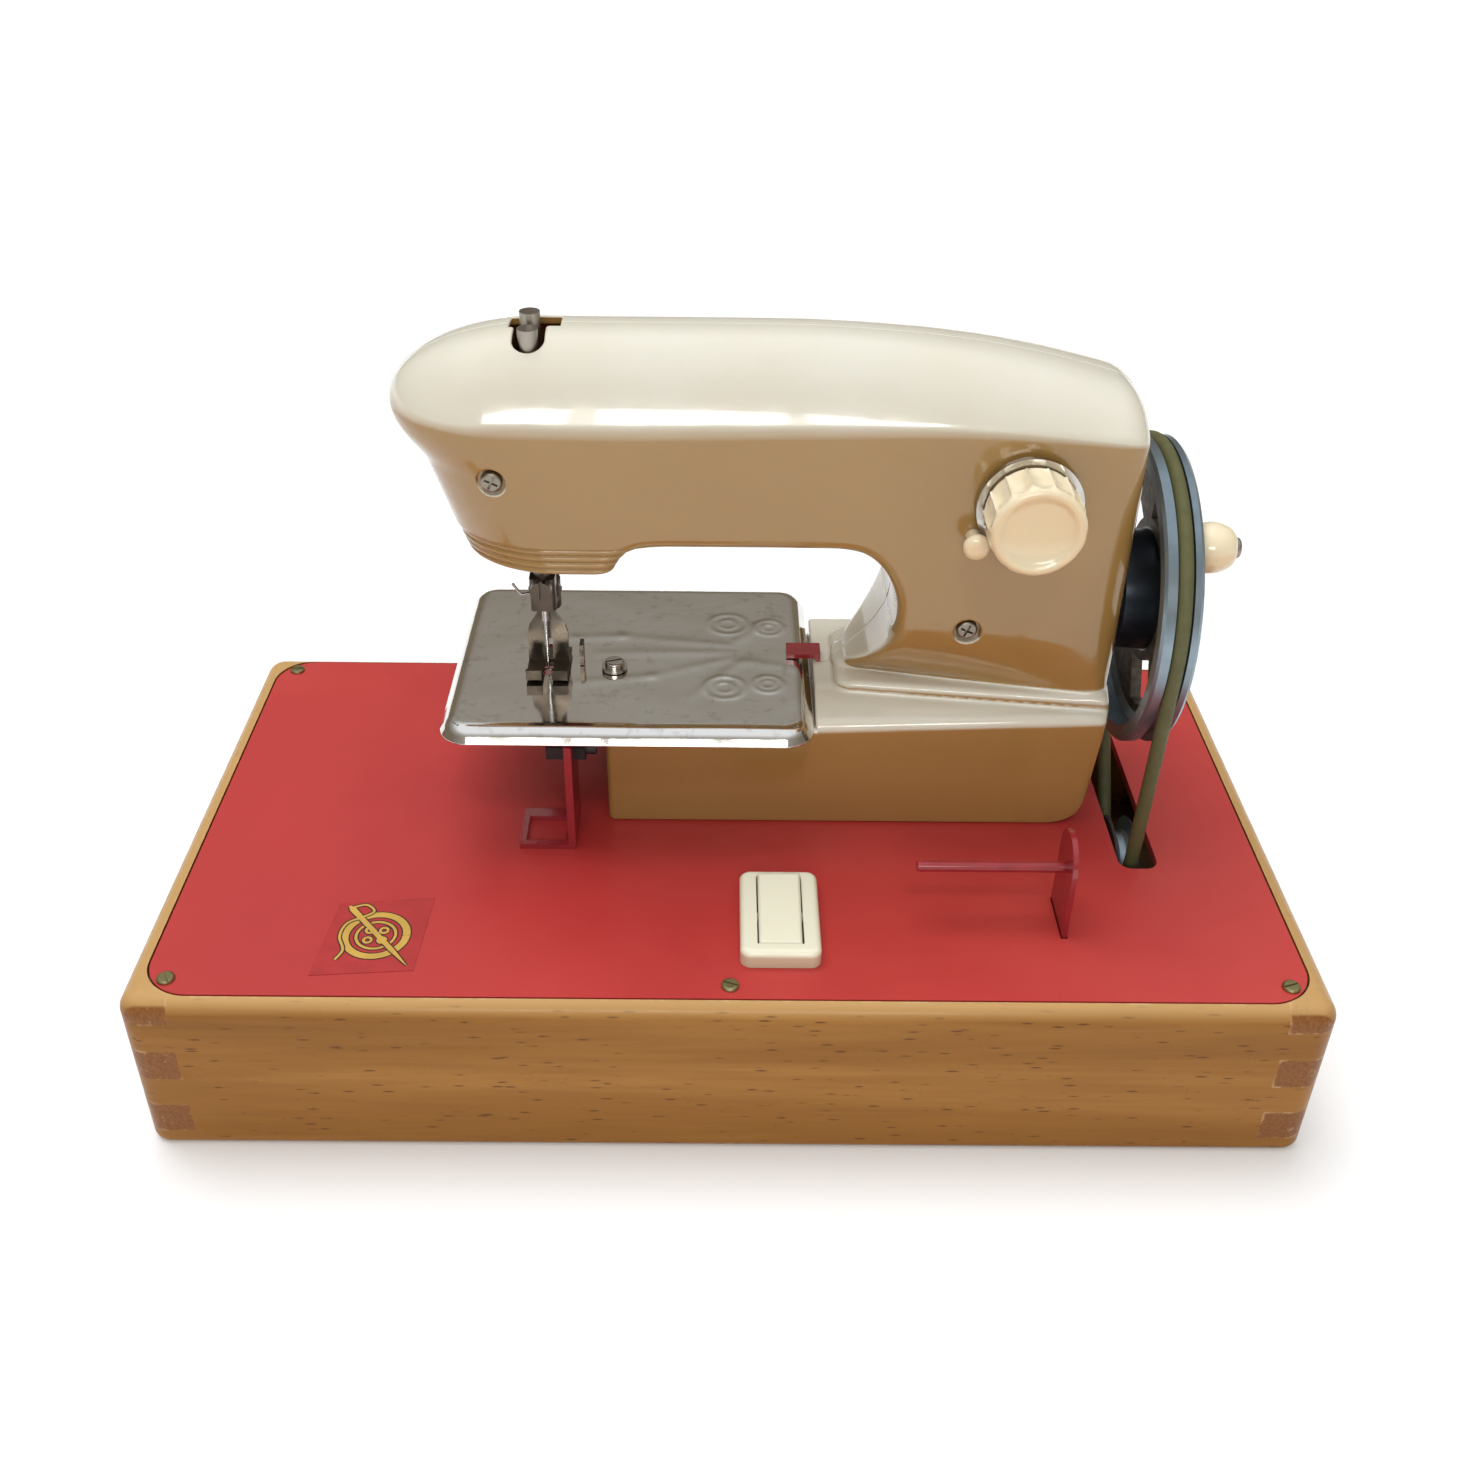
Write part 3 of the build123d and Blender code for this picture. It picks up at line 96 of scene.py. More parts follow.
def build_camera():
    data = bpy.data.cameras.new("camera")
    camera = add_object("camera", data)
    data.sensor_width = SENSOR
    data.lens = LENS
    data.clip_start, data.clip_end = 0.01, 20.0
    forward = Vector((-math.sin(TURN) * math.cos(FALL), math.cos(TURN) * math.cos(FALL), -math.sin(FALL)))
    right = Vector((math.cos(TURN), math.sin(TURN), 0.0))
    up = right.cross(forward)
    side = math.cos(ROLL) * right + math.sin(ROLL) * up
    top = -math.sin(ROLL) * right + math.cos(ROLL) * up
    spin = Matrix((side, top, -forward)).transposed()
    camera.matrix_world = Matrix.Translation(Vector(CAMERA_AT) * MM) @ spin.to_4x4()
    bpy.context.scene.camera = camera


def add_lamp(name, kind, direction, energy, color):
    """Lamp whose light comes from that direction."""
    data = bpy.data.lights.new(name, kind)
    data.energy = energy
    data.color = color
    lamp = add_object(name, data)
    lamp.rotation_mode = "QUATERNION"
    lamp.rotation_quaternion = Vector(direction).to_track_quat("Z", "Y")
    return lamp


def area_light(name, place, target, size, energy, color):
    lamp = add_lamp(name, "AREA", Vector(place) - Vector(target), energy, color)
    lamp.location = place
    lamp.data.shape = "RECTANGLE"
    lamp.data.size, lamp.data.size_y = size


def sun_light(name, direction, energy, spread, color):
    """Distant light that leaves no highlight; spread is its width in degrees."""
    lamp = add_lamp(name, "SUN", direction, energy, color)
    lamp.data.angle = math.radians(spread)
    lamp.visible_glossy = False


def build_lights():
    """High soft light, a small sharper one from the front, and a low window of three panes in front."""
    for name, sun in SUNS.items():
        sun_light(name, *sun)
    for i in range(PANES):
        x = PANE_LEFT + PANE_PITCH * i
        target = (x * 0.4, 0, PANE_TARGET_Z)
        area_light(f"pane_{i}", (x, PANE_Y, PANE_Z), target, PANE_SIZE, PANE_POWER, PANE_COLOR)


def build_floor():
    mesh = bpy.data.meshes.new("floor")
    signs = ((-1, -1), (1, -1), (1, 1), (-1, 1))
    mesh.from_pydata([(FLOOR_REACH * a, FLOOR_REACH * b, 0) for a, b in signs], [], [(0, 1, 2, 3)])
    add_object("floor", mesh)
    m = Shader("floor", roughness=0.9)
    m.set_color((0.88, 0.88, 0.88))
    mesh.materials.append(m.material)


def fill_ramp(ramp, stops):
    """Stops of a colour ramp: (position, grey or rgb)."""
    while len(ramp.elements) < len(stops):
        ramp.elements.new(0.5)
    for element, (position, color) in zip(ramp.elements, stops):
        element.position = position
        element.color = (*color, 1) if hasattr(color, "__len__") else (color, color, color, 1)


def build_world():
    """Bright ceiling over a dim beige room."""
    world = bpy.data.worlds.new("world")
    bpy.context.scene.world = world
    world.use_nodes = True
    tree = world.node_tree
    place = tree.nodes.new("ShaderNodeTexCoord")
    split = tree.nodes.new("ShaderNodeSeparateXYZ")
    ramp = tree.nodes.new("ShaderNodeValToRGB")
    tree.links.new(place.outputs["Generated"], split.inputs[0])
    tree.links.new(split.outputs["Z"], ramp.inputs["Fac"])
    tree.links.new(ramp.outputs["Color"], tree.nodes["Background"].inputs["Color"])
    fill_ramp(ramp.color_ramp, ROOM)
    tree.nodes["Background"].inputs["Strength"].default_value = 1.0


# ---------------------------------------------------------------- materials
class Shader:
    """A Principled material with a few procedural helpers."""

    def __init__(self, name, roughness=0.5, metallic=0.0, coat=0.0, coat_roughness=0.1, subsurface=0.0,
                 ior=1.45):
        self.material = bpy.data.materials.new(name)
        self.material.use_nodes = True
        self.tree = self.material.node_tree
        self.bsdf = self.tree.nodes["Principled BSDF"]
        self.bsdf.inputs["Roughness"].default_value = roughness
        self.bsdf.inputs["Metallic"].default_value = metallic
        self.bsdf.inputs["Coat Weight"].default_value = coat
        self.bsdf.inputs["Coat Roughness"].default_value = coat_roughness
        self.bsdf.inputs["IOR"].default_value = ior
        if subsurface:
            self.bsdf.inputs["Subsurface Weight"].default_value = subsurface
            self.bsdf.inputs["Subsurface Radius"].default_value = (1.0, 0.55, 0.25)
            self.bsdf.inputs["Subsurface Scale"].default_value = 0.004
        self.place = self.node("ShaderNodeTexCoord").outputs["Object"]

    def node(self, kind, **values):
        made = self.tree.nodes.new(kind)
        for key, value in values.items():
            setattr(made, key, value)
        return made

    def link(self, source, target):
        self.tree.links.new(source, target)

    def set_color(self, rgb):
        self.bsdf.inputs["Base Color"].default_value = (*rgb, 1)

    def scaled(self, scale):
        """Object coordinates multiplied per axis."""
        node = self.node("ShaderNodeMapping")
        node.inputs["Scale"].default_value = scale
        self.link(self.place, node.inputs["Vector"])
        return node.outputs["Vector"]

    def noise(self, scale, detail=4.0, rough=0.55, vector=None, distortion=0.0):
        """Noise with its scale in cells per metre."""
        node = self.node("ShaderNodeTexNoise")
        node.inputs["Scale"].default_value = scale
        node.inputs["Detail"].default_value = detail
        node.inputs["Roughness"].default_value = rough
        node.inputs["Distortion"].default_value = distortion
        self.link(vector or self.place, node.inputs["Vector"])
        return node.outputs["Fac"]

    def cells(self, scale, vector):
        """Distance to the nearest of scattered points."""
        node = self.node("ShaderNodeTexVoronoi", feature="F1")
        node.inputs["Scale"].default_value = scale
        self.link(vector, node.inputs["Vector"])
        return node.outputs["Distance"]

    def ramp(self, fac, stops):
        """Colour ramp: stops are (position, grey or rgb)."""
        node = self.node("ShaderNodeValToRGB")
        fill_ramp(node.color_ramp, stops)
        self.link(fac, node.inputs["Fac"])
        return node.outputs["Color"]

    def mix(self, fac, first, second, mode="MIX"):
        """Mixed colour; fac, first and second are sockets or plain values."""
        node = self.node("ShaderNodeMix", data_type="RGBA", blend_type=mode)
        for value, socket in ((fac, node.inputs[0]), (first, node.inputs[6]), (second, node.inputs[7])):
            if isinstance(value, bpy.types.NodeSocket):
                self.link(value, socket)
            else:
                socket.default_value = (*value, 1) if hasattr(value, "__len__") else value
        return node.outputs[2]

    def math(self, operation, first, second=0.0, clamp=False):
        node = self.node("ShaderNodeMath", operation=operation, use_clamp=clamp)
        for value, socket in zip((first, second), node.inputs):
            if isinstance(value, bpy.types.NodeSocket):
                self.link(value, socket)
            else:
                socket.default_value = value
        return node.outputs[0]

    def axis(self, index, source=None):
        """One component of the object-space position, or of another vector."""
        node = self.node("ShaderNodeSeparateXYZ")
        self.link(source or self.place, node.inputs[0])
        return node.outputs[index]

    def facing(self, index):
        """Object-space normal component."""
        return self.axis(index, self.node("ShaderNodeTexCoord").outputs["Normal"])

    def edges(self, radius):
        """White on convex edges within about that radius in metres."""
        bevel = self.node("ShaderNodeBevel", samples=4)
        bevel.inputs["Radius"].default_value = radius
        geometry = self.node("ShaderNodeNewGeometry")
        dot = self.node("ShaderNodeVectorMath", operation="DOT_PRODUCT")
        self.link(bevel.outputs["Normal"], dot.inputs[0])
        self.link(geometry.outputs["Normal"], dot.inputs[1])
        bend = self.math("SUBTRACT", 1.0, dot.outputs["Value"], clamp=True)
        return self.ramp(bend, [(0.02, 0.0), (0.25, 1.0)])

    def color(self, socket):
        self.link(socket, self.bsdf.inputs["Base Color"])

    def roughness(self, socket):
        self.link(socket, self.bsdf.inputs["Roughness"])

    def bump(self, height, strength=0.3, distance=0.0002):
        node = self.node("ShaderNodeBump")
        node.inputs["Strength"].default_value = strength
        node.inputs["Distance"].default_value = distance
        self.link(height, node.inputs["Height"])
        previous = self.bsdf.inputs["Normal"].links
        if previous:
            self.link(previous[0].from_socket, node.inputs["Normal"])
        self.link(node.outputs["Normal"], self.bsdf.inputs["Normal"])


def cream_plastic(name, shaded_sides, top, roughness=0.2, mottle=0.35, ribbed=None):
    """Glossy moulding with painted shade in the side colour and painted light in the top colour, picked by
    which way each face points, plus clouding, speckle and orange-peel.

    ribbed gives two heights in metres between which even upward faces get no painted top light and keep the
    painted side shade.
    """
    m = Shader(name, roughness=roughness, coat=0.6, coat_roughness=0.03, subsurface=0.12, ior=1.5)
    # Painted light: faces that point up get the top colour, and faces that point sideways or down keep the
    # darker side colour as painted shade.
    painted_top_light = m.ramp(m.facing(2), [(0.06, 0.0), (0.34, 1.0)])
    if ribbed:
        low, high = ribbed
        away = m.math("ABSOLUTE", m.math("SUBTRACT", m.axis(2), (low + high) / 2))
        painted_top_light = m.math("MULTIPLY", painted_top_light, m.math("GREATER_THAN", away, (high - low) / 2))
    # Painted light and shade: the top colour on upward faces, the side colour elsewhere.
    base = m.mix(painted_top_light, shaded_sides, top)
    clouds = m.ramp(m.noise(22, detail=5), [(0.35, 0.0), (0.7, mottle)])
    base = m.mix(clouds, base, m.mix(1.0, base, (0.90, 0.84, 0.74), "MULTIPLY"))
    specks = m.ramp(m.noise(2600, detail=1), [(0.66, 0.0), (0.78, 0.30)])
    m.color(m.mix(specks, base, m.mix(1.0, base, (0.80, 0.74, 0.62), "MULTIPLY")))
    m.roughness(m.ramp(m.noise(60, detail=6), [(0.3, roughness - 0.04), (0.75, roughness + 0.10)]))
    m.bump(m.noise(34, detail=3), 0.38, 0.0012)
    m.bump(m.noise(1500, detail=2), 0.05, 0.00005)
    return m


def beech(name, grain_axis):
    """Lacquered beech: slow figure, short dark flecks along the grain, darker end grain and rubbed edges."""
    m = Shader(name, roughness=0.36, coat=0.12, coat_roughness=0.15, ior=1.2)
    along, fleck_scale = [1.0, 1.0, 1.0], [1.0, 1.0, 1.0]
    along[grain_axis] = 0.06
    fleck_scale[grain_axis] = 0.17
    figure = m.noise(40, detail=5, vector=m.scaled(along), distortion=1.3)
    base = m.ramp(figure, [(0.28, (0.22, 0.088, 0.014)), (0.5, (0.29, 0.126, 0.024)),
                           (0.74, (0.37, 0.172, 0.042))])
    fine = m.noise(560, detail=3, vector=m.scaled(along))
    base = m.mix(m.ramp(fine, [(0.42, 0.0), (0.72, 0.35)]), base, (0.22, 0.085, 0.018))
    near = m.ramp(m.cells(560, m.scaled(fleck_scale)), [(0.09, 1.0), (0.22, 0.0)])
    patches = m.ramp(m.noise(170, detail=2), [(0.36, 0.0), (0.48, 1.0)])
    fleck = m.math("MULTIPLY", near, patches)
    base = m.mix(m.math("MULTIPLY", fleck, 0.85), base, (0.085, 0.028, 0.008))
    # Painted light: upward faces are painted lighter.
    base = m.mix(m.ramp(m.facing(2), [(0.25, 0.0), (0.85, 0.6)]), base, (0.60, 0.39, 0.17))
    end = m.ramp(m.math("ABSOLUTE", m.facing(grain_axis)), [(0.72, 0.0), (0.80, 1.0)])
    pores = m.ramp(m.noise(1100, detail=2), [(0.35, 0.0), (0.65, 0.7)])
    end_wood = m.mix(pores, (0.25, 0.10, 0.030), (0.16, 0.060, 0.018))
    scuffs = m.ramp(m.noise(300, detail=6, rough=0.7), [(0.60, 0.0), (0.68, 0.55)])
    base = m.mix(end, base, m.mix(scuffs, end_wood, (0.50, 0.33, 0.19)))
    rubbed = m.math("MULTIPLY", m.edges(0.0011), m.ramp(m.noise(230, detail=5), [(0.5, 0.0), (0.64, 1.0)]))
    m.color(m.mix(m.math("MULTIPLY", rubbed, 0.75), base, (0.62, 0.42, 0.23)))
    m.roughness(m.ramp(m.noise(140, detail=4), [(0.3, 0.26), (0.75, 0.46)]))
    m.bump(fine, 0.12, 0.0002)
    m.bump(near, 0.15, 0.0001)
    return m


def plated(name, tint, roughness, wave=0.2, grime=0.3, grime_tint=(0.20, 0.15, 0.10)):
    """Polished or plated metal with a wavy skin and specks of tarnish."""
    m = Shader(name, roughness=roughness, metallic=1.0)
    spots = m.ramp(m.noise(210, detail=7, rough=0.65), [(0.55, 0.0), (0.75, grime)])
    m.color(m.mix(spots, tint, grime_tint))
    m.roughness(m.ramp(m.noise(70, detail=6), [(0.3, roughness * 0.6), (0.8, roughness * 2.2)]))
    m.bump(m.noise(28, detail=3, distortion=0.6), wave, 0.0012)
    m.bump(m.noise(2400, detail=2), 0.05, 0.00004)
    return m


def turned(name, tint, roughness=0.34):
    """Lathe-turned zinc alloy: satin, cool stains and fine scratches."""
    m = Shader(name, roughness=roughness, metallic=0.85)
    stains = m.ramp(m.noise(60, detail=6, rough=0.6), [(0.35, 0.0), (0.7, 0.7)])
    m.color(m.mix(stains, tint, tuple(0.62 * c for c in tint)))
    m.roughness(m.ramp(m.noise(120, detail=5), [(0.3, roughness * 0.8), (0.8, roughness * 1.5)]))
    m.bump(m.noise(700, detail=4), 0.10, 0.0001)
    return m


def wheel_zinc(name, centre, drum_radius, web_radius):
    """Handwheel: satin rims, rough grey-brown cast web and a dark drum, by the distance from its centre."""
    m = turned(name, (0.26, 0.33, 0.38))
    y = m.math("SUBTRACT", m.axis(1), centre[0])
    z = m.math("SUBTRACT", m.axis(2), centre[1])
    radius = m.math("SQRT", m.math("ADD", m.math("MULTIPLY", y, y), m.math("MULTIPLY", z, z)))
    rim = m.bsdf.inputs["Base Color"].links[0].from_socket
    cast = m.mix(m.ramp(m.noise(420, detail=5), [(0.35, 0.0), (0.65, 1.0)]),
                 (0.20, 0.18, 0.155), (0.10, 0.085, 0.07))
    in_web = m.math("LESS_THAN", radius, web_radius)
    in_drum = m.math("LESS_THAN", radius, drum_radius)
    drum = m.mix(m.ramp(m.noise(90, detail=5), [(0.3, 0.0), (0.7, 1.0)]),
                 (0.030, 0.040, 0.055), (0.055, 0.062, 0.075))
    m.color(m.mix(in_drum, m.mix(in_web, rim, cast), drum))
    m.roughness(m.mix(in_drum, m.mix(in_web, m.ramp(m.noise(120, detail=5), [(0.3, 0.26), (0.8, 0.46)]),
                                     (0.62, 0.62, 0.62)), (0.30, 0.30, 0.30)))
    grain = m.math("MULTIPLY", m.noise(500, detail=6, rough=0.7), m.math("SUBTRACT", in_web, in_drum))
    m.bump(grain, 0.5, 0.0004)
    return m


def enamel(name, rgb, roughness=0.25):
    """Painted metal or film: uneven tone and duller edges."""
    m = Shader(name, roughness=roughness, coat=0.5, coat_roughness=0.1)
    m.color(m.mix(m.ramp(m.noise(150, detail=5), [(0.3, 0.0), (0.7, 0.5)]), rgb, tuple(0.6 * c for c in rgb)))
    chips = m.math("MULTIPLY", m.edges(0.0005), m.ramp(m.noise(700, detail=4), [(0.55, 0.0), (0.65, 1.0)]))
    m.roughness(m.ramp(chips, [(0.0, roughness), (1.0, 0.5)]))
    m.bump(m.noise(500, detail=3), 0.15, 0.00015)
    return m


def red_laminate(name):
    """Pressed red laminate: slow tone changes, fine dust and a satin face."""
    m = Shader(name, roughness=0.42, coat=0.15, coat_roughness=0.3)
    tone = m.noise(9, detail=4, distortion=0.4)
    base = m.ramp(tone, [(0.3, (0.38, 0.027, 0.026)), (0.52, (0.43, 0.034, 0.031)),
                         (0.75, (0.48, 0.050, 0.044))])
    dust = m.ramp(m.noise(1900, detail=2), [(0.70, 0.0), (0.80, 0.35)])
    m.color(m.mix(dust, base, (0.66, 0.30, 0.27)))
    m.roughness(m.ramp(m.noise(45, detail=6), [(0.3, 0.36), (0.75, 0.52)]))
    m.bump(m.noise(1300, detail=3), 0.06, 0.0001)
    return m


def plain(name, rgb, roughness, metallic=0.0):
    """Small or hidden piece: worn colour, uneven gloss and a fine surface."""
    m = Shader(name, roughness=roughness, metallic=metallic)
    clouds = m.ramp(m.noise(150, detail=5), [(0.3, 0.0), (0.75, 0.35)])
    m.color(m.mix(clouds, rgb, tuple(0.55 * c for c in rgb)))
    m.roughness(m.ramp(m.noise(300, detail=4), [(0.3, roughness * 0.75), (0.75, roughness * 1.35)]))
    m.bump(m.noise(1200, detail=3), 0.1, 0.0001)
    return m


# ---------------------------------------------------------------- distance fields
def soft_min(a, b, k):
    """Union of two distances with a fillet about k wide."""
    h = np.clip(0.5 + 0.5 * (b - a) / k, 0, 1)
    return b + (a - b) * h - k * h * (1 - h)


def soft_max(a, b, k):
    return -soft_min(-a, -b, k)


def outline_distance(points, x, z):
    """Signed distance to a closed outline, negative inside."""
    best = np.full(np.broadcast(x, z).shape, 1e9)
    inside = np.zeros(best.shape, bool)
    for (ax, az), (bx, bz) in zip(points, points[1:] + points[:1]):
        ex, ez = bx - ax, bz - az
        if ex == 0 and ez == 0:
            continue
        t = np.clip(((x - ax) * ex + (z - az) * ez) / (ex * ex + ez * ez), 0, 1)
        best = np.minimum(best, np.hypot(x - ax - t * ex, z - az - t * ez))
        if bz != az:
            crosses = (az > z) != (bz > z)
            inside ^= crosses & (x < ax + (z - az) * ex / ez)
    return np.where(inside, -best, best)


def curve_through(points, steps=6):
    """Smooth list of points through given ones (Catmull-Rom)."""
    p = [np.array(q, float) for q in [points[0], *points, points[-1]]]
    made = []
    for a, b, c, d in zip(p, p[1:], p[2:], p[3:]):
        for i in range(steps):
            t = i / steps
            made.append(0.5 * (2 * b + (c - a) * t + (2 * a - 5 * b + 4 * c - d) * t * t
                               + (3 * b - 3 * c + d - a) * t ** 3))
    return [tuple(q.tolist()) for q in made] + [tuple(points[-1])]


def slab(x, y, z, low, high):
    """Signed distance to a box."""
    d = None
    for value, a, b in zip((x, y, z), low, high):
        gap = np.abs(value - (a + b) / 2) - (b - a) / 2
        d = gap if d is None else np.maximum(d, gap)
    return d


def surface_net(distance, axes):
    """Quad mesh of the zero level of a distance function sampled on a grid."""
    x, y, z = (np.asarray(a, float) for a in axes)
    f = distance(x[:, None, None], y[None, :, None], z[None, None, :])
    f = np.broadcast_to(f, (len(x), len(y), len(z)))
    cells = tuple(n - 1 for n in f.shape)
    total, count = np.zeros((*cells, 3)), np.zeros(cells)
    crossings = []
    for a in range(3):
        low = [slice(None)] * 3
        high = [slice(None)] * 3
        low[a], high[a] = slice(0, -1), slice(1, None)
        f0, f1 = f[tuple(low)], f[tuple(high)]
        crossed = (f0 < 0) != (f1 < 0)
        at = np.argwhere(crossed)
        point = at.astype(float)
        point[:, a] += f0[crossed] / (f0[crossed] - f1[crossed])
        b, c = (a + 1) % 3, (a + 2) % 3
        corners = []
        for db, dc in ((0, 0), (1, 0), (1, 1), (0, 1)):
            cell = at.copy()
            cell[:, b] -= db
            cell[:, c] -= dc
            np.add.at(total, tuple(cell.T), point)
            np.add.at(count, tuple(cell.T), 1)
            corners.append(cell)
        crossings.append((corners, f0[crossed] < 0))
    live = count > 0
    index = np.full(cells, -1)
    index[live] = np.arange(live.sum())
    at = total[live] / count[live][:, None]
    verts = np.stack([np.interp(at[:, i], np.arange(len(v)), v) for i, v in enumerate((x, y, z))], 1)
    quads = []
    for corners, outward in crossings:
        quad = np.stack([index[tuple(c.T)] for c in corners], 1)
        quad[~outward] = quad[~outward][:, ::-1]
        quads.append(quad)
    return verts, np.concatenate(quads)


def gradient(distance, p, h=0.05):
    """Slope of a distance function at points, by central differences."""
    parts = []
    for i in range(3):
        shift = np.zeros(3)
        shift[i] = h
        up, down = p + shift, p - shift
        parts.append((distance(*up.T) - distance(*down.T)) / (2 * h))
    return np.stack(parts, 1)


def field_mesh(name, distance, axes, body, slot, *replaced):
    """Object for the zero level of a distance function given in millimetres."""
    verts, quads = surface_net(distance, axes)
    for _ in range(3):
        slope = gradient(distance, verts)
        size = np.maximum((slope ** 2).sum(1), 0.05)
        step = -(distance(*verts.T) / size)[:, None] * slope
        reach = np.maximum(np.linalg.norm(step, axis=1), 1e-9)
        verts = verts + step * np.minimum(1.0, 0.5 / reach)[:, None]
    slope = gradient(distance, verts)
    normals = slope / np.maximum(np.linalg.norm(slope, axis=1), 1e-9)[:, None]
    mesh = bpy.data.meshes.new(name)
    mesh.from_pydata((verts * MM).tolist(), [], quads.tolist())
    mesh.validate()
    mesh.shade_smooth()
    mesh.normals_split_custom_set_from_vertices(normals.tolist())
    return register(name, mesh, body, slot, *replaced)


def register(name, mesh, body, slot, *replaced):
    """New piece that rides on a body and may stand for CAD nodes."""
    piece = add_object(name, mesh)
    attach(piece, body)
    if replaced:
        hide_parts(*replaced)
    return piece


# ---------------------------------------------------------------- head shells
# Outline of the opening under the arm in x and z. SHOULDER and CREST give heights at x, NOSE_TIP an x at z.
THROAT = ([(-34.5, 120.0), (-34.0, NOSE_FLOOR)]
          + curve_through([(-34.0, NOSE_FLOOR), (-31.6, 143.0), (-28.0, 145.7), (-22.0, 146.8),
                           (-10.0, 147.0), (20.0, 147.0), (32.0, 146.6), (38.5, 144.2), (43.5, 138.6),
                           (46.6, 131.0), (47.0, 123.5), (45.0, 116.5), (40.5, 109.5), (35.0, 103.5),
                           (31.5, 99.0)])
          + [(31.0, 90.0), (31.0, 80.0), (-34.5, 80.0)])
SHOULDER = ([-96, -80, -72, -56, -30, 17, 56, 77, 93, 112],
            [182.4, 182.2, 182.0, 181.5, 181.3, 182.4, 183.2, 182.5, 181.3, 180.0])
CREST = ([-52, 0, 20, 36, 52, 69, 86, 103, 114],
         [203.8, 203.9, 203.8, 203.0, 201.8, 199.7, 196.5, 192.2, 188.6])
NOSE_TIP = ([138, 143, 150, 156, 162, 168, 171, 174, 177, 180, 183, 186],
            [-77.2, -79.0, -81.3, -83.3, -85.3, -87.4, -89.6, -92.1, -94.1, -95.2, -95.6, -95.4])
RIB_Z0, RIB_PITCH, RIBS, RIB_END_X = 138.7, 2.1, 4, -26.0


def smooth_table(table, value):
    """Interpolation of a short table with rounded corners."""
    xs, ys = table
    spread = (xs[-1] - xs[0]) / 60
    offsets = (-1.5, -0.5, 0.5, 1.5)
    return sum(np.interp(value + o * spread, xs, ys) for o in offsets) / len(offsets)


def flank(x, y, z):
    """Plan shape of arm and pillar: straight flanks and an elliptical nose."""
    tip = smooth_table(NOSE_TIP, z)
    ahead = np.maximum(0.0, tip + NOSE_LENGTH - x) / NOSE_LENGTH
    across = np.abs(y - MID_Y) / HALF_DEPTH
    radius = np.hypot(ahead, across)
    return (radius - 1) * HALF_DEPTH


def rib_relief(x, z):
    """How far the moulded ribs round the foot of the nose stand back from its flank."""
    phase = (z - RIB_Z0) / RIB_PITCH
    groove = 1.0 - np.abs(np.sin(np.pi * phase)) ** 0.7
    top = RIB_Z0 + RIBS * RIB_PITCH
    band = np.clip((top + 0.3 - z) / 0.6, 0, 1) * np.clip((RIB_END_X - x) / 1.5, 0, 1)
    return band * (0.35 + 0.75 * groove)


def crown(x, y, z):
    """Domed roof that falls to both shoulders, to the nose and to the right."""
    past = np.clip((CREST_FALL_X - x) / (CREST_FALL_X - NOSE_END), 0, 0.9995)
    shoulder = smooth_table(SHOULDER, x)
    height = (smooth_table(CREST, x) - shoulder) * np.sqrt(1 - past ** 2)
    ahead = np.clip((NOSE_END + NOSE_LENGTH - x) / NOSE_LENGTH, 0, 0.9995)
    width = HALF_DEPTH * np.sqrt(1 - ahead ** 2)
    t = np.abs(y - MID_Y) / width
    level = t ** CROWN_POWER + (z - shoulder) / height - 1
    slope = np.hypot(CROWN_POWER * np.minimum(t, 1.2) ** (CROWN_POWER - 1) / width, 1 / height)
    return level / slope


def foot_recess(x, z):
    """The flank draws in towards the bed at the throat side of the pillar."""
    return 0.225 * np.maximum(0.0, 110.0 - x) * (np.maximum(0.0, 126.0 - z) / 26.0) ** 2


def arm_and_pillar(x, y, z):
    across = np.abs(y - MID_Y)
    ribs = rib_relief(x, z)
    d = flank(x, y, z) + ribs
    face = across + foot_recess(x, z) + ribs - HALF_DEPTH
    d = soft_max(d, face, 0.6)
    d = soft_max(d, crown(x, y, z), 1.1)
    d = soft_max(d, x - PILLAR_X, 9.0)
    d = soft_max(d, -outline_distance(THROAT, x, z), 5.0)
    nose_floor = NOSE_FLOOR - z + np.where(x > 0, -100.0, 0.0)
    d = soft_max(d, nose_floor, 1.6)
    return np.maximum(d, ROOT_Z - z)


def bed_block(x, y, z, open_ends=False):
    """Bed block: leaning flanks, sloping front edge and the ledge under the plate."""
    lean = 2.0 * (z - DECK_Z) / 40.0
    d = soft_max(BED_NEAR - lean - y, y - BED_FAR, 3.0)
    right = x - BED_RIGHT - 3.2 * (z - DECK_Z) / 44.0
    d = soft_max(d, right, 3.0)
    share = np.clip((x - BED_LEFT) / 150.0, 0, 1)
    front_top = 89.0 + 6.6 * share
    run = 17.0 - 11.0 * share
    slope = (BED_Z - front_top) / run
    falling = (z - front_top - (y + 8.5) * slope) / np.sqrt(1 + slope ** 2)
    top = soft_max(falling, z - BED_Z, 2.0)
    d = soft_max(d, top, 3.2)
    d = soft_max(d, np.minimum(z - LEDGE_Z, LEDGE_X - x), 1.0)
    if open_ends:
        return d
    corner = soft_max(right, DECK_Z - z, 12.0)
    d = soft_max(d, corner, 1.0)
    return soft_max(d, BED_LEFT - x, 2.0)


def plinth(x, y, z):
    """Step that carries the pillar on the bed."""
    across = np.abs(y - MID_Y)
    side = across - 16.8 - 8.8 * (x - 34.0) / 78.0
    tip = soft_max(PLINTH_LEFT - x, side, 5.0)
    d = soft_max(tip, z - PLINTH_TOP, 2.4)
    d = soft_max(d, x - PLINTH_RIGHT, 3.0)
    return np.maximum(d, ROOT_Z - z)


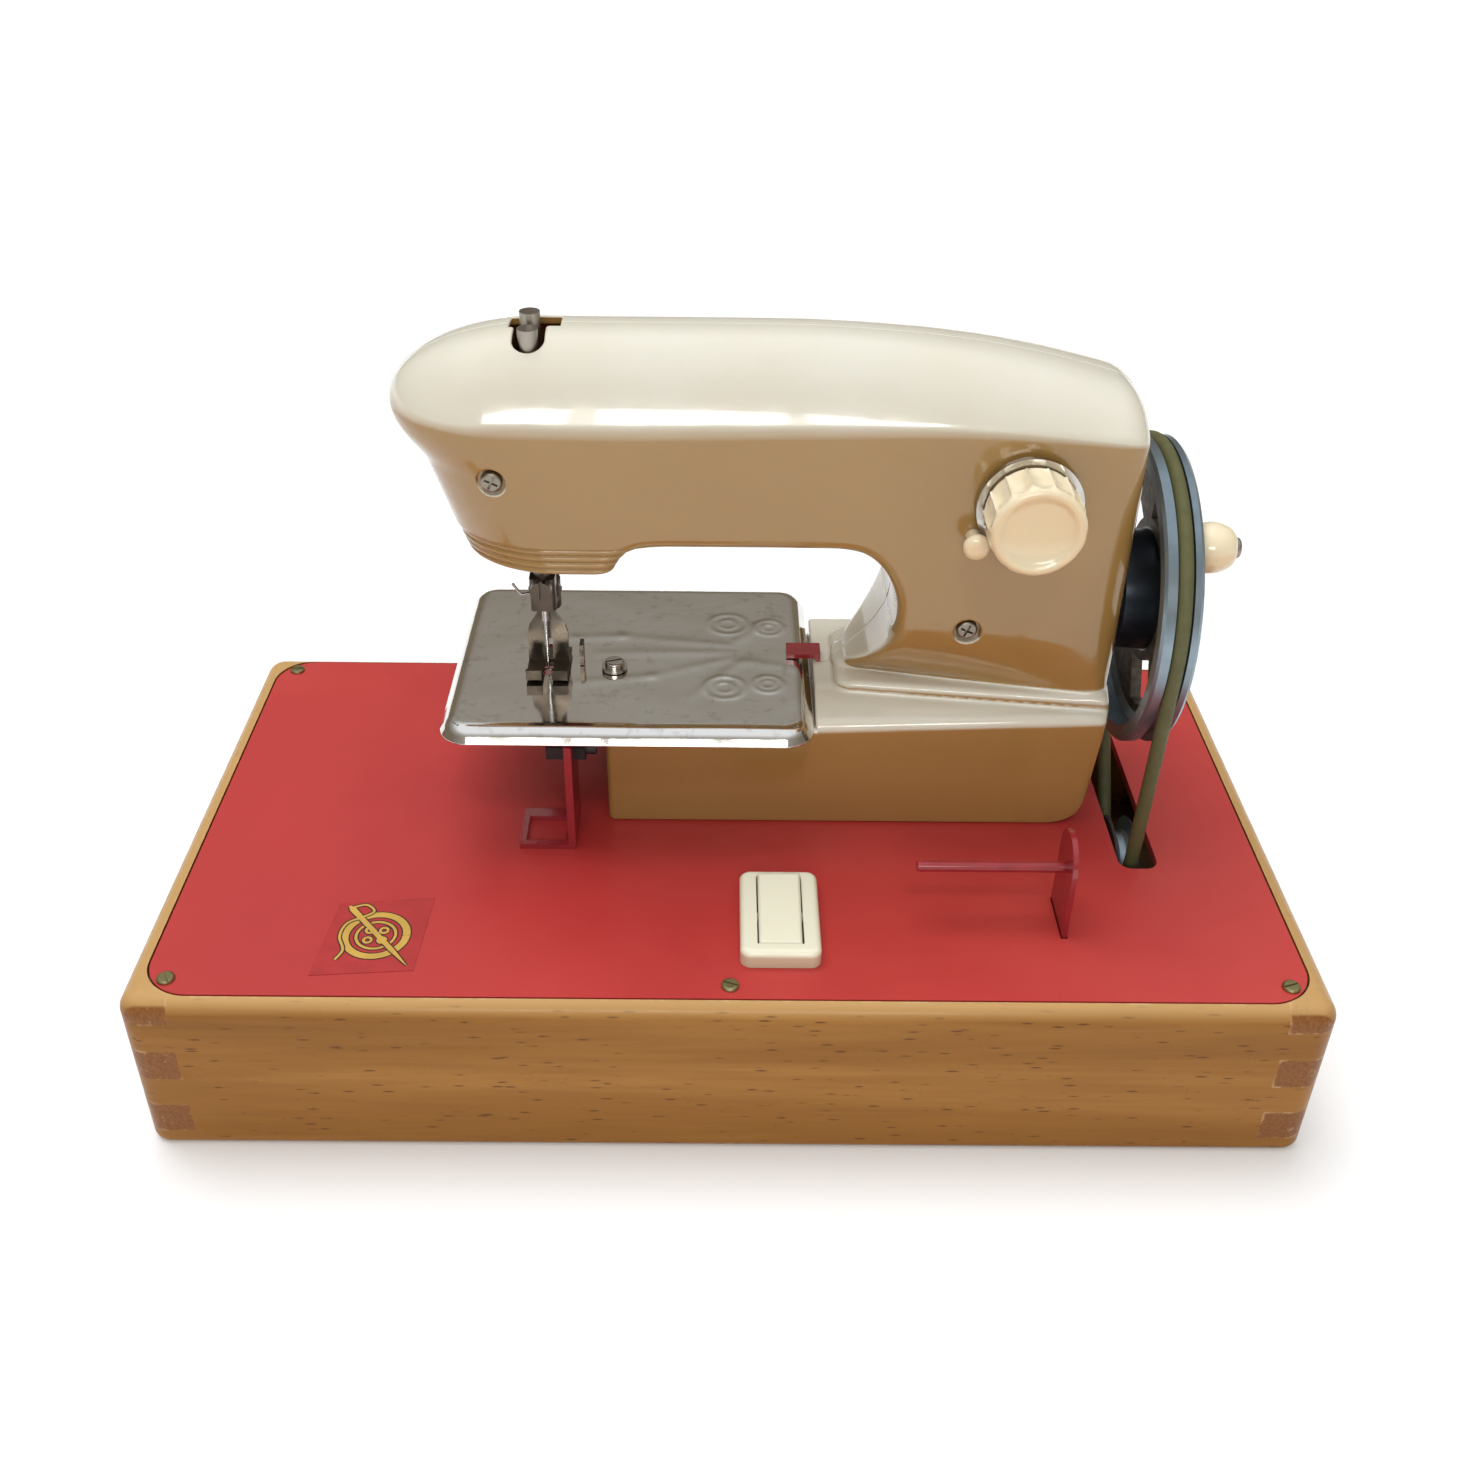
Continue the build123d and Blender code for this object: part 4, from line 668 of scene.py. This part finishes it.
def head_outside(x, y, z):
    body = soft_min(bed_block(x, y, z), plinth(x, y, z), 1.2)
    return soft_min(body, arm_and_pillar(x, y, z), 2.2)


def head_hollow(x, y, z):
    """Space inside the shells, one wall in from the outside."""
    block = bed_block(x, y, z, open_ends=True) + WALL
    body = soft_max(arm_and_pillar(x, y, np.maximum(z, 100.0)), 80.0 - z, 1.0) + WALL
    return np.minimum(block, body)


def recess(x, y, z, centre):
    """Round screw recess in the front flank."""
    r = np.hypot(x - centre[0], z - centre[1])
    return np.maximum(r - RECESS_RADIUS, y - (MID_Y - HALF_DEPTH) - RECESS_DEPTH)


def post(x, z, centre, outer):
    """Screw post behind a recess, kept inside the outer skin."""
    return np.maximum(np.hypot(x - centre[0], z - centre[1]) - POST_RADIUS, outer)


def top_hole(x, y, z):
    """Keyhole in the crown above the two bars."""
    front = np.hypot(0.84 * (x - BARS_X), np.minimum(y - 11.0, 0)) - 3.6
    front = np.maximum(front, y - MID_Y - 1)
    rear = slab(x, y, z, (-61.1, 17.5, 0), (-47.3, 26.5, 400))
    return np.maximum(soft_min(front, rear, 0.8), 186.0 - z)


def head(x, y, z):
    """Hollow head with its posts, screw recesses, bar openings above and below, and shaft bearing."""
    outer = head_outside(x, y, z)
    shell = soft_max(outer, -head_hollow(x, y, z), 0.5)
    pillar_post = np.maximum(post(x, z, PILLAR_SCREW, outer), y - 12.0)
    shell = np.minimum(shell, np.minimum(post(x, z, NOSE_SCREW, outer), pillar_post))
    cuts = np.minimum(recess(x, y, z, NOSE_SCREW), recess(x, y, z, PILLAR_SCREW))
    shell = soft_max(shell, -cuts, 0.5)
    shell = soft_max(shell, -top_hole(x, y, z), 0.7)
    mouth = slab(x, y, z, (-65.0, 2.4, 120.0), (-44.0, 31.0, 145.0))
    shell = soft_max(shell, -mouth, 0.6)
    bearing = np.maximum(np.hypot(y - SHAFT_Y, z - SHAFT_Z) - 7.0, 100.0 - x)
    return np.maximum(shell, -bearing)


def front_half(x, y, z):
    return soft_max(head(x, y, z), y - (MID_Y - HALF_SEAM), 0.35)


def rear_half(x, y, z):
    return soft_max(head(x, y, z), (MID_Y + HALF_SEAM) - y, 0.35)


def graded(start, end, detailed, step=1.0, fine=0.45):
    """Grid positions from start to end, closer together in the detailed ranges."""
    places = [start]
    while places[-1] < end:
        close = any(low <= places[-1] < high for low, high in detailed)
        places.append(places[-1] + (fine if close else step))
    return np.array(places)


def build_head():
    """Both shells, on grids that are finer at the openings, ribs, recesses and seam."""
    x = graded(-99.3, 116.5, [(-71.5, -46.0), (62.0, 73.0)])
    z = graded(51.5, 207.5, [(117.0, 127.5), (136.5, 150.0), (162.0, 172.0), (194.0, 205.0)])
    front_y = graded(-12.5, 22.5, [(-5.0, 0.5), (5.5, 22.5)])
    rear_y = graded(17.5, 51.5, [(17.5, 28.5)])
    front = field_mesh("head_front", front_half, (x, front_y, z), "machine", "cream_shell", "front_shell")
    rear = field_mesh("head_rear", rear_half, (x, rear_y, z), "machine", "cream_shell", "rear_shell")
    return front, rear


# ---------------------------------------------------------------- bed plate
PLATE_LOW, PLATE_HIGH, PLATE_TOP = (-85.2, -22.0), (24.3, 66.0), 98.2
PLATE_CORNER, PLATE_DROP, PLATE_LEAN = 9.0, 4.8, math.radians(34)
SHEET = 0.8
NEEDLE_Y = 11.0
PLATE_SCREW = (-35.5, 13.0)
# Pressed beads from end to end, and bosses as centre and radius.
BEADS = [((0, 27), (-34, 32)), ((-34, 32), (-62, 30)), ((0, 23), (-40, 22)), ((-1, 19), (-24, 9)),
         ((-24, 9), (-46, 5)), ((2, 16), (-12, -2)), ((2, 30), (14, 44)), ((4, 18), (20, 14))]
BOSSES = [((-1, 40), 6.0), ((12, 38), 4.4), ((-2, 3), 6.0), ((11, 5), 4.4)]


def rounded_plan(x, y, low, high, corner):
    """Signed distance to a rounded rectangle in plan."""
    gap_x = np.abs(x - (low[0] + high[0]) / 2) - (high[0] - low[0]) / 2 + corner
    gap_y = np.abs(y - (low[1] + high[1]) / 2) - (high[1] - low[1]) / 2 + corner
    outside = np.hypot(np.maximum(gap_x, 0), np.maximum(gap_y, 0))
    return outside + np.minimum(np.maximum(gap_x, gap_y), 0) - corner


def plate_relief(x, y):
    """Pressed beads, ringed bosses and the slight waves of the thin sheet."""
    height = 0.05 * np.sin(x / 8.0 + 1.3 * np.sin(y / 9.0)) * np.sin(y / 7.0 + 0.8)
    for (ax, ay), (bx, by) in BEADS:
        ex, ey = bx - ax, by - ay
        t = np.clip(((x - ax) * ex + (y - ay) * ey) / (ex * ex + ey * ey), 0, 1)
        away = (x - ax - t * ex) ** 2 + (y - ay - t * ey) ** 2
        height = height + 0.16 * (1 - 0.5 * t) * np.exp(-away / 5.0)
    for (cx, cy), radius in BOSSES:
        r = np.hypot(x - cx, y - cy)
        height = (height + 0.13 * np.exp(-((r - radius) / 1.1) ** 2)
                  + 0.10 * np.exp(-((r - 0.45 * radius) / 0.9) ** 2))
    return height


def plate_field(x, y, z):
    """Sheet with a lip that slopes out and down all round, two holes and the slot under the foot."""
    inward = -rounded_plan(x, y, PLATE_LOW, PLATE_HIGH, PLATE_CORNER)
    lip = (z - PLATE_TOP + PLATE_DROP) * math.sin(PLATE_LEAN) - inward * math.cos(PLATE_LEAN)
    flat = z - PLATE_TOP + 0.3 - plate_relief(x, y)
    outer = soft_max(flat, lip, 2.4)
    inner = np.maximum(z - PLATE_TOP + SHEET, lip + 1.25)
    d = np.maximum(outer, -inner)
    d = soft_max(d, PLATE_TOP - PLATE_DROP - z, 0.4)
    holes = np.minimum(np.hypot(x - BARS_X, y - NEEDLE_Y) - 1.6,
                       np.hypot(x - PLATE_SCREW[0], y - PLATE_SCREW[1]) - 1.5)
    slot = slab(x, y, z, (BARS_X - 2.4, 13.4, 90), (BARS_X + 2.4, 27.0, 110))
    return soft_max(d, -np.minimum(holes, slot), 0.3)


def build_plate():
    axes = (np.arange(-86.4, 25.6, 0.8), np.arange(-23.2, 67.3, 0.8), np.arange(92.9, 99.2, 0.27))
    return field_mesh("bed_plate_pressed", plate_field, axes, "machine", "chrome", "bed_plate")


# ---------------------------------------------------------------- turned and moulded small pieces
def revolved(name, profile, origin, axis, body, slot, replaced, segments, ripple=None):
    """Closed (radius, distance) profile turned about an axis through origin.

    ripple(angle, distance, radius) is added to the radius.
    """
    spin = [v for v in ((1, 0, 0), (0, 1, 0), (0, 0, 1)) if v != tuple(abs(c) for c in axis)]
    u, v, w = Vector(spin[0]), Vector(spin[1]), Vector(axis)
    if u.cross(v).dot(w) < 0:
        u, v = v, u
    verts, faces = [], []
    for i in range(segments):
        angle = 2 * math.pi * i / segments
        for radius, along in profile:
            r = radius + (ripple(angle, along, radius) if ripple else 0.0)
            verts.append((Vector(origin) + r * (math.cos(angle) * u + math.sin(angle) * v) + along * w) * MM)
    n = len(profile)
    for i in range(segments):
        a, b = i * n, ((i + 1) % segments) * n
        for j in range(n - 1):
            faces.append((a + j, b + j, b + j + 1, a + j + 1))
    mesh = bpy.data.meshes.new(name)
    mesh.from_pydata(verts, [], faces)
    work = bmesh.new()
    work.from_mesh(mesh)
    bmesh.ops.remove_doubles(work, verts=work.verts, dist=1e-7)
    bmesh.ops.recalc_face_normals(work, faces=work.faces)
    work.to_mesh(mesh)
    work.free()
    mesh.shade_smooth()
    mesh.set_sharp_from_angle(angle=math.radians(38))
    return register(name, mesh, body, slot, replaced)


KNOB_AT, KNOB_BACK, KNOB_LENGTH, KNOB_RADIUS, SCALLOPS = (80.0, 163.0), 8.2, 14.0, 13.2, 14
PEG_AT = (66.0, 153.0)
GRIP_BACK, GRIP_FRONT, GRIP_BORE, GRIP_Y, GRIP_Z = 127.9, 138.9, 1.85, -3.1, 149.8


def scallop(angle, along, radius):
    """Wide shallow hollows between narrow ribs, fading out before the round front rim."""
    front = KNOB_BACK + KNOB_LENGTH
    fade = min(1.0, max(0.0, (front - 1.3 - along) / 2.6)) * min(1.0, max(0.0, (along - KNOB_BACK) / 1.0))
    return -1.35 * fade * abs(math.sin(0.5 * SCALLOPS * angle)) ** 0.75 if radius > 12.0 else 0.0


def build_knobs():
    """Profiles run along -Y for the tension knob and the peg, and along +X for the crank grip."""
    back, front, r = KNOB_BACK, KNOB_BACK + KNOB_LENGTH, KNOB_RADIUS
    rim = [(r - 0.6, back), (r, back + 0.6), (r, back + 2), (r, back + 5), (r, back + 8), (r, front - 4.2),
           (r, front - 3.2), (r - 0.1, front - 2.2), (r - 0.45, front - 1.1), (r - 1.1, front - 0.35),
           (r - 2.0, front), (r - 2.9, front - 0.25), (r - 3.6, front - 0.9)]
    dish = [(8.6, front - 1.35), (7.0, front - 1.75), (5.0, front - 2.1), (2.5, front - 2.3),
            (0.0, front - 2.4)]
    inside = [(0.0, back + 11.0), (2.05, back + 11.0), (2.05, back + 7.0), (7.0, back + 7.0), (7.0, back)]
    knob = revolved("tension_knob_moulded", inside + rim + dish, (KNOB_AT[0], 0, KNOB_AT[1]), (0, -1, 0),
                    "tension_nut", "cream_knob", "tension_knob", 336, scallop)
    peg = [(0.0, -1.5), (1.55, -1.5), (1.55, 4.0), (2.3, 4.0), (2.3, 8.4), (3.2, 8.9), (3.7, 9.8),
           (3.75, 10.7), (3.4, 11.5), (2.5, 12.0), (1.2, 12.2), (0.0, 12.25)]
    peg_piece = revolved("thread_peg_moulded", peg, (PEG_AT[0], 0, PEG_AT[1]), (0, -1, 0), "machine",
                         "cream_knob", "thread_peg", 48)
    grip = curve_through([(5.4, GRIP_BACK), (6.5, 129.0), (7.2, 131.4), (7.0, 134.2), (6.0, 136.8),
                          (4.6, 138.4), (3.4, GRIP_FRONT)])
    grip = [(GRIP_BORE, GRIP_BACK)] + grip + [(GRIP_BORE, GRIP_FRONT), (GRIP_BORE, GRIP_BACK)]
    grip_piece = revolved("crank_grip_moulded", grip, (0, GRIP_Y, GRIP_Z), (1, 0, 0), "crank_grip",
                          "cream_knob", "crank_knob", 64)
    return knob, peg_piece, grip_piece


# ---------------------------------------------------------------- emblem
FILM_TOP = 54.85
EMBLEM_AT = (-99.5, -60.0)


def ribbon(points, widths, z, work):
    """Flat band through points, added to a mesh; widths run from end to end."""
    line = [Vector(p) for p in points]
    pairs = []
    for i, p in enumerate(line):
        ahead = (line[min(i + 1, len(line) - 1)] - line[max(i - 1, 0)]).normalized()
        share = i / (len(line) - 1)
        half = 0.5 * np.interp(share, np.linspace(0, 1, len(widths)), widths)
        side = Vector((-ahead.y, ahead.x)) * half
        pairs.append([work.verts.new(((p.x + s * side.x) * MM, (p.y + s * side.y) * MM, z * MM))
                      for s in (-1, 1)])
    for (a, b), (c, d) in zip(pairs, pairs[1:]):
        work.faces.new((a, c, d, b))


def ring(cx, cy, radius, steps=40):
    """Points round a circle, the last one on the first."""
    angles = [math.radians(360 * i / steps) for i in range(steps + 1)]
    return [(cx + radius * math.cos(angle), cy + radius * math.sin(angle)) for angle in angles]


def emblem_strokes():
    """A four-hole button with a threaded needle across it: lines of points, each with its widths."""
    cx, cy = EMBLEM_AT
    thread = curve_through([(-108.5, -48.6), (-104.5, -47.2), (-101.8, -50.0), (-104.8, -52.6),
                            (-108.6, -55.2), (-109.6, -60.5), (-107.6, -66.0), (-109.0, -70.0)])
    strokes = [(ring(cx, cy, 8.6), [2.1]), (ring(cx, cy, 5.5), [0.8])]
    strokes += [(ring(cx + dx, cy + dy, 1.1, 16), [0.8]) for dx in (-2, 2) for dy in (-2, 2)]
    needle = [(-89.0, -72.0), (-94.0, -66.0), (-104.5, -53.4), (-108.0, -49.2), (-109.2, -47.8)]
    strokes += [(needle, [0.25, 1.5, 1.6, 1.9, 0.7]), (thread, [0.75])]
    return strokes


def build_emblem(gold, ink):
    """Gold strokes on slightly wider dark ones, each stroke a hair above the one before."""
    for name, grow, z, shader in (("emblem_outline", 0.75, FILM_TOP + 0.012, ink),
                                  ("emblem_gold", 0.0, FILM_TOP + 0.03, gold)):
        work = bmesh.new()
        for i, (points, widths) in enumerate(emblem_strokes()):
            ribbon(points, [w + grow for w in widths], z + 0.004 * i, work)
        mesh = bpy.data.meshes.new(name)
        work.to_mesh(mesh)
        work.free()
        mesh.materials.append(shader.material)
        register(name, mesh, "machine", "emblem_film")


# ---------------------------------------------------------------- put together
bpy.context.scene.view_settings.view_transform = "Standard"
build_camera()
build_floor()
build_world()
build_lights()

# Each call gives a side colour with painted shade, then a top colour with painted light.
cream = cream_plastic("cream_shell", (0.335, 0.197, 0.060), (0.68, 0.655, 0.565), roughness=0.14,
                      ribbed=(0.120, 0.149))
for half in build_head():
    half.data.materials.append(cream.material)

# Side colour with painted shade, then top colour with painted light.
cream_small = cream_plastic("cream_small", (0.72, 0.55, 0.33), (0.80, 0.70, 0.50))
ivory = cream_plastic("ivory", (0.66, 0.60, 0.44), (0.76, 0.75, 0.60), roughness=0.3, mottle=0.2)
plate = plated("chrome", (0.78, 0.77, 0.75), 0.07, wave=0.20, grime=0.35)
build_plate().data.materials.append(plate.material)
for moulded in build_knobs():
    moulded.data.materials.append(cream_small.material)
build_emblem(enamel("gold_ink", (0.56, 0.34, 0.06), 0.35), plain("black_ink", (0.03, 0.015, 0.01), 0.5))

FINISHES = {
    "beech_x": beech("beech_x", 0),
    "beech_y": beech("beech_y", 1),
    "red_laminate": red_laminate("red_laminate"),
    "hardboard": plain("hardboard", (0.24, 0.13, 0.06), 0.7),
    "cream_switch": ivory,
    "cream_knob": cream_small,
    "chrome": plated("bright_plate", (0.55, 0.53, 0.50), 0.16),
    "bar_steel": plated("bar_steel", (0.36, 0.33, 0.29), 0.32, wave=0.05),
    "foot_steel": plated("foot_steel", (0.12, 0.10, 0.08), 0.34, wave=0.1, grime=0.5,
                         grime_tint=(0.05, 0.035, 0.025)),
    "zinc": turned("zinc", (0.30, 0.36, 0.40)),
    "wheel": wheel_zinc("wheel_zinc", (SHAFT_Y * MM, SHAFT_Z * MM), drum_radius=0.0186, web_radius=0.0376),
    "red_enamel": enamel("red_enamel", (0.30, 0.018, 0.025)),
    "deck_screw_brass": plain("deck_screw_brass", (0.40, 0.36, 0.18), 0.45, 1.0),
    # Dull zinc, coloured darker still as painted shade of the recess the screw sits in.
    "zinc_screw": plain("zinc_screw", (0.30, 0.27, 0.22), 0.35, 1.0),
    "black_steel": plain("black_steel", (0.02, 0.02, 0.02), 0.5),
    "belt_rubber": plain("belt_rubber", (0.105, 0.105, 0.042), 0.6),
    "bronze": plain("bronze", (0.48, 0.33, 0.16), 0.4, 1.0),
    "motor_can": plain("motor_can", (0.55, 0.55, 0.56), 0.3, 1.0),
    "black_plastic": plain("black_plastic", (0.03, 0.03, 0.032), 0.5),
    "cell_jacket": plain("cell_jacket", (0.10, 0.18, 0.33), 0.35),
    "spring_steel": plain("spring_steel", (0.6, 0.6, 0.6), 0.25, 1.0),
    "wire_jacket": plain("wire_jacket", (0.25, 0.03, 0.02), 0.5),
    "emblem_film": enamel("emblem_film", (0.40, 0.022, 0.022)),
}
# Nodes whose finish isn't the one their slot names.
SPECIAL = {"base_front_board": "beech_x", "base_rear_board": "beech_x", "base_left_board": "beech_y",
           "base_right_board": "beech_y", "handwheel": "wheel", "seam_guide": "foot_steel"}

for part in frame["record"]["subparts"]:
    node = part["node"]
    finish = SPECIAL.get(node, part["material_slot"])
    if finish in FINISHES:
        cad = frame["nodes"][node]
        cad.data.materials.clear()
        cad.data.materials.append(FINISHES[finish].material)
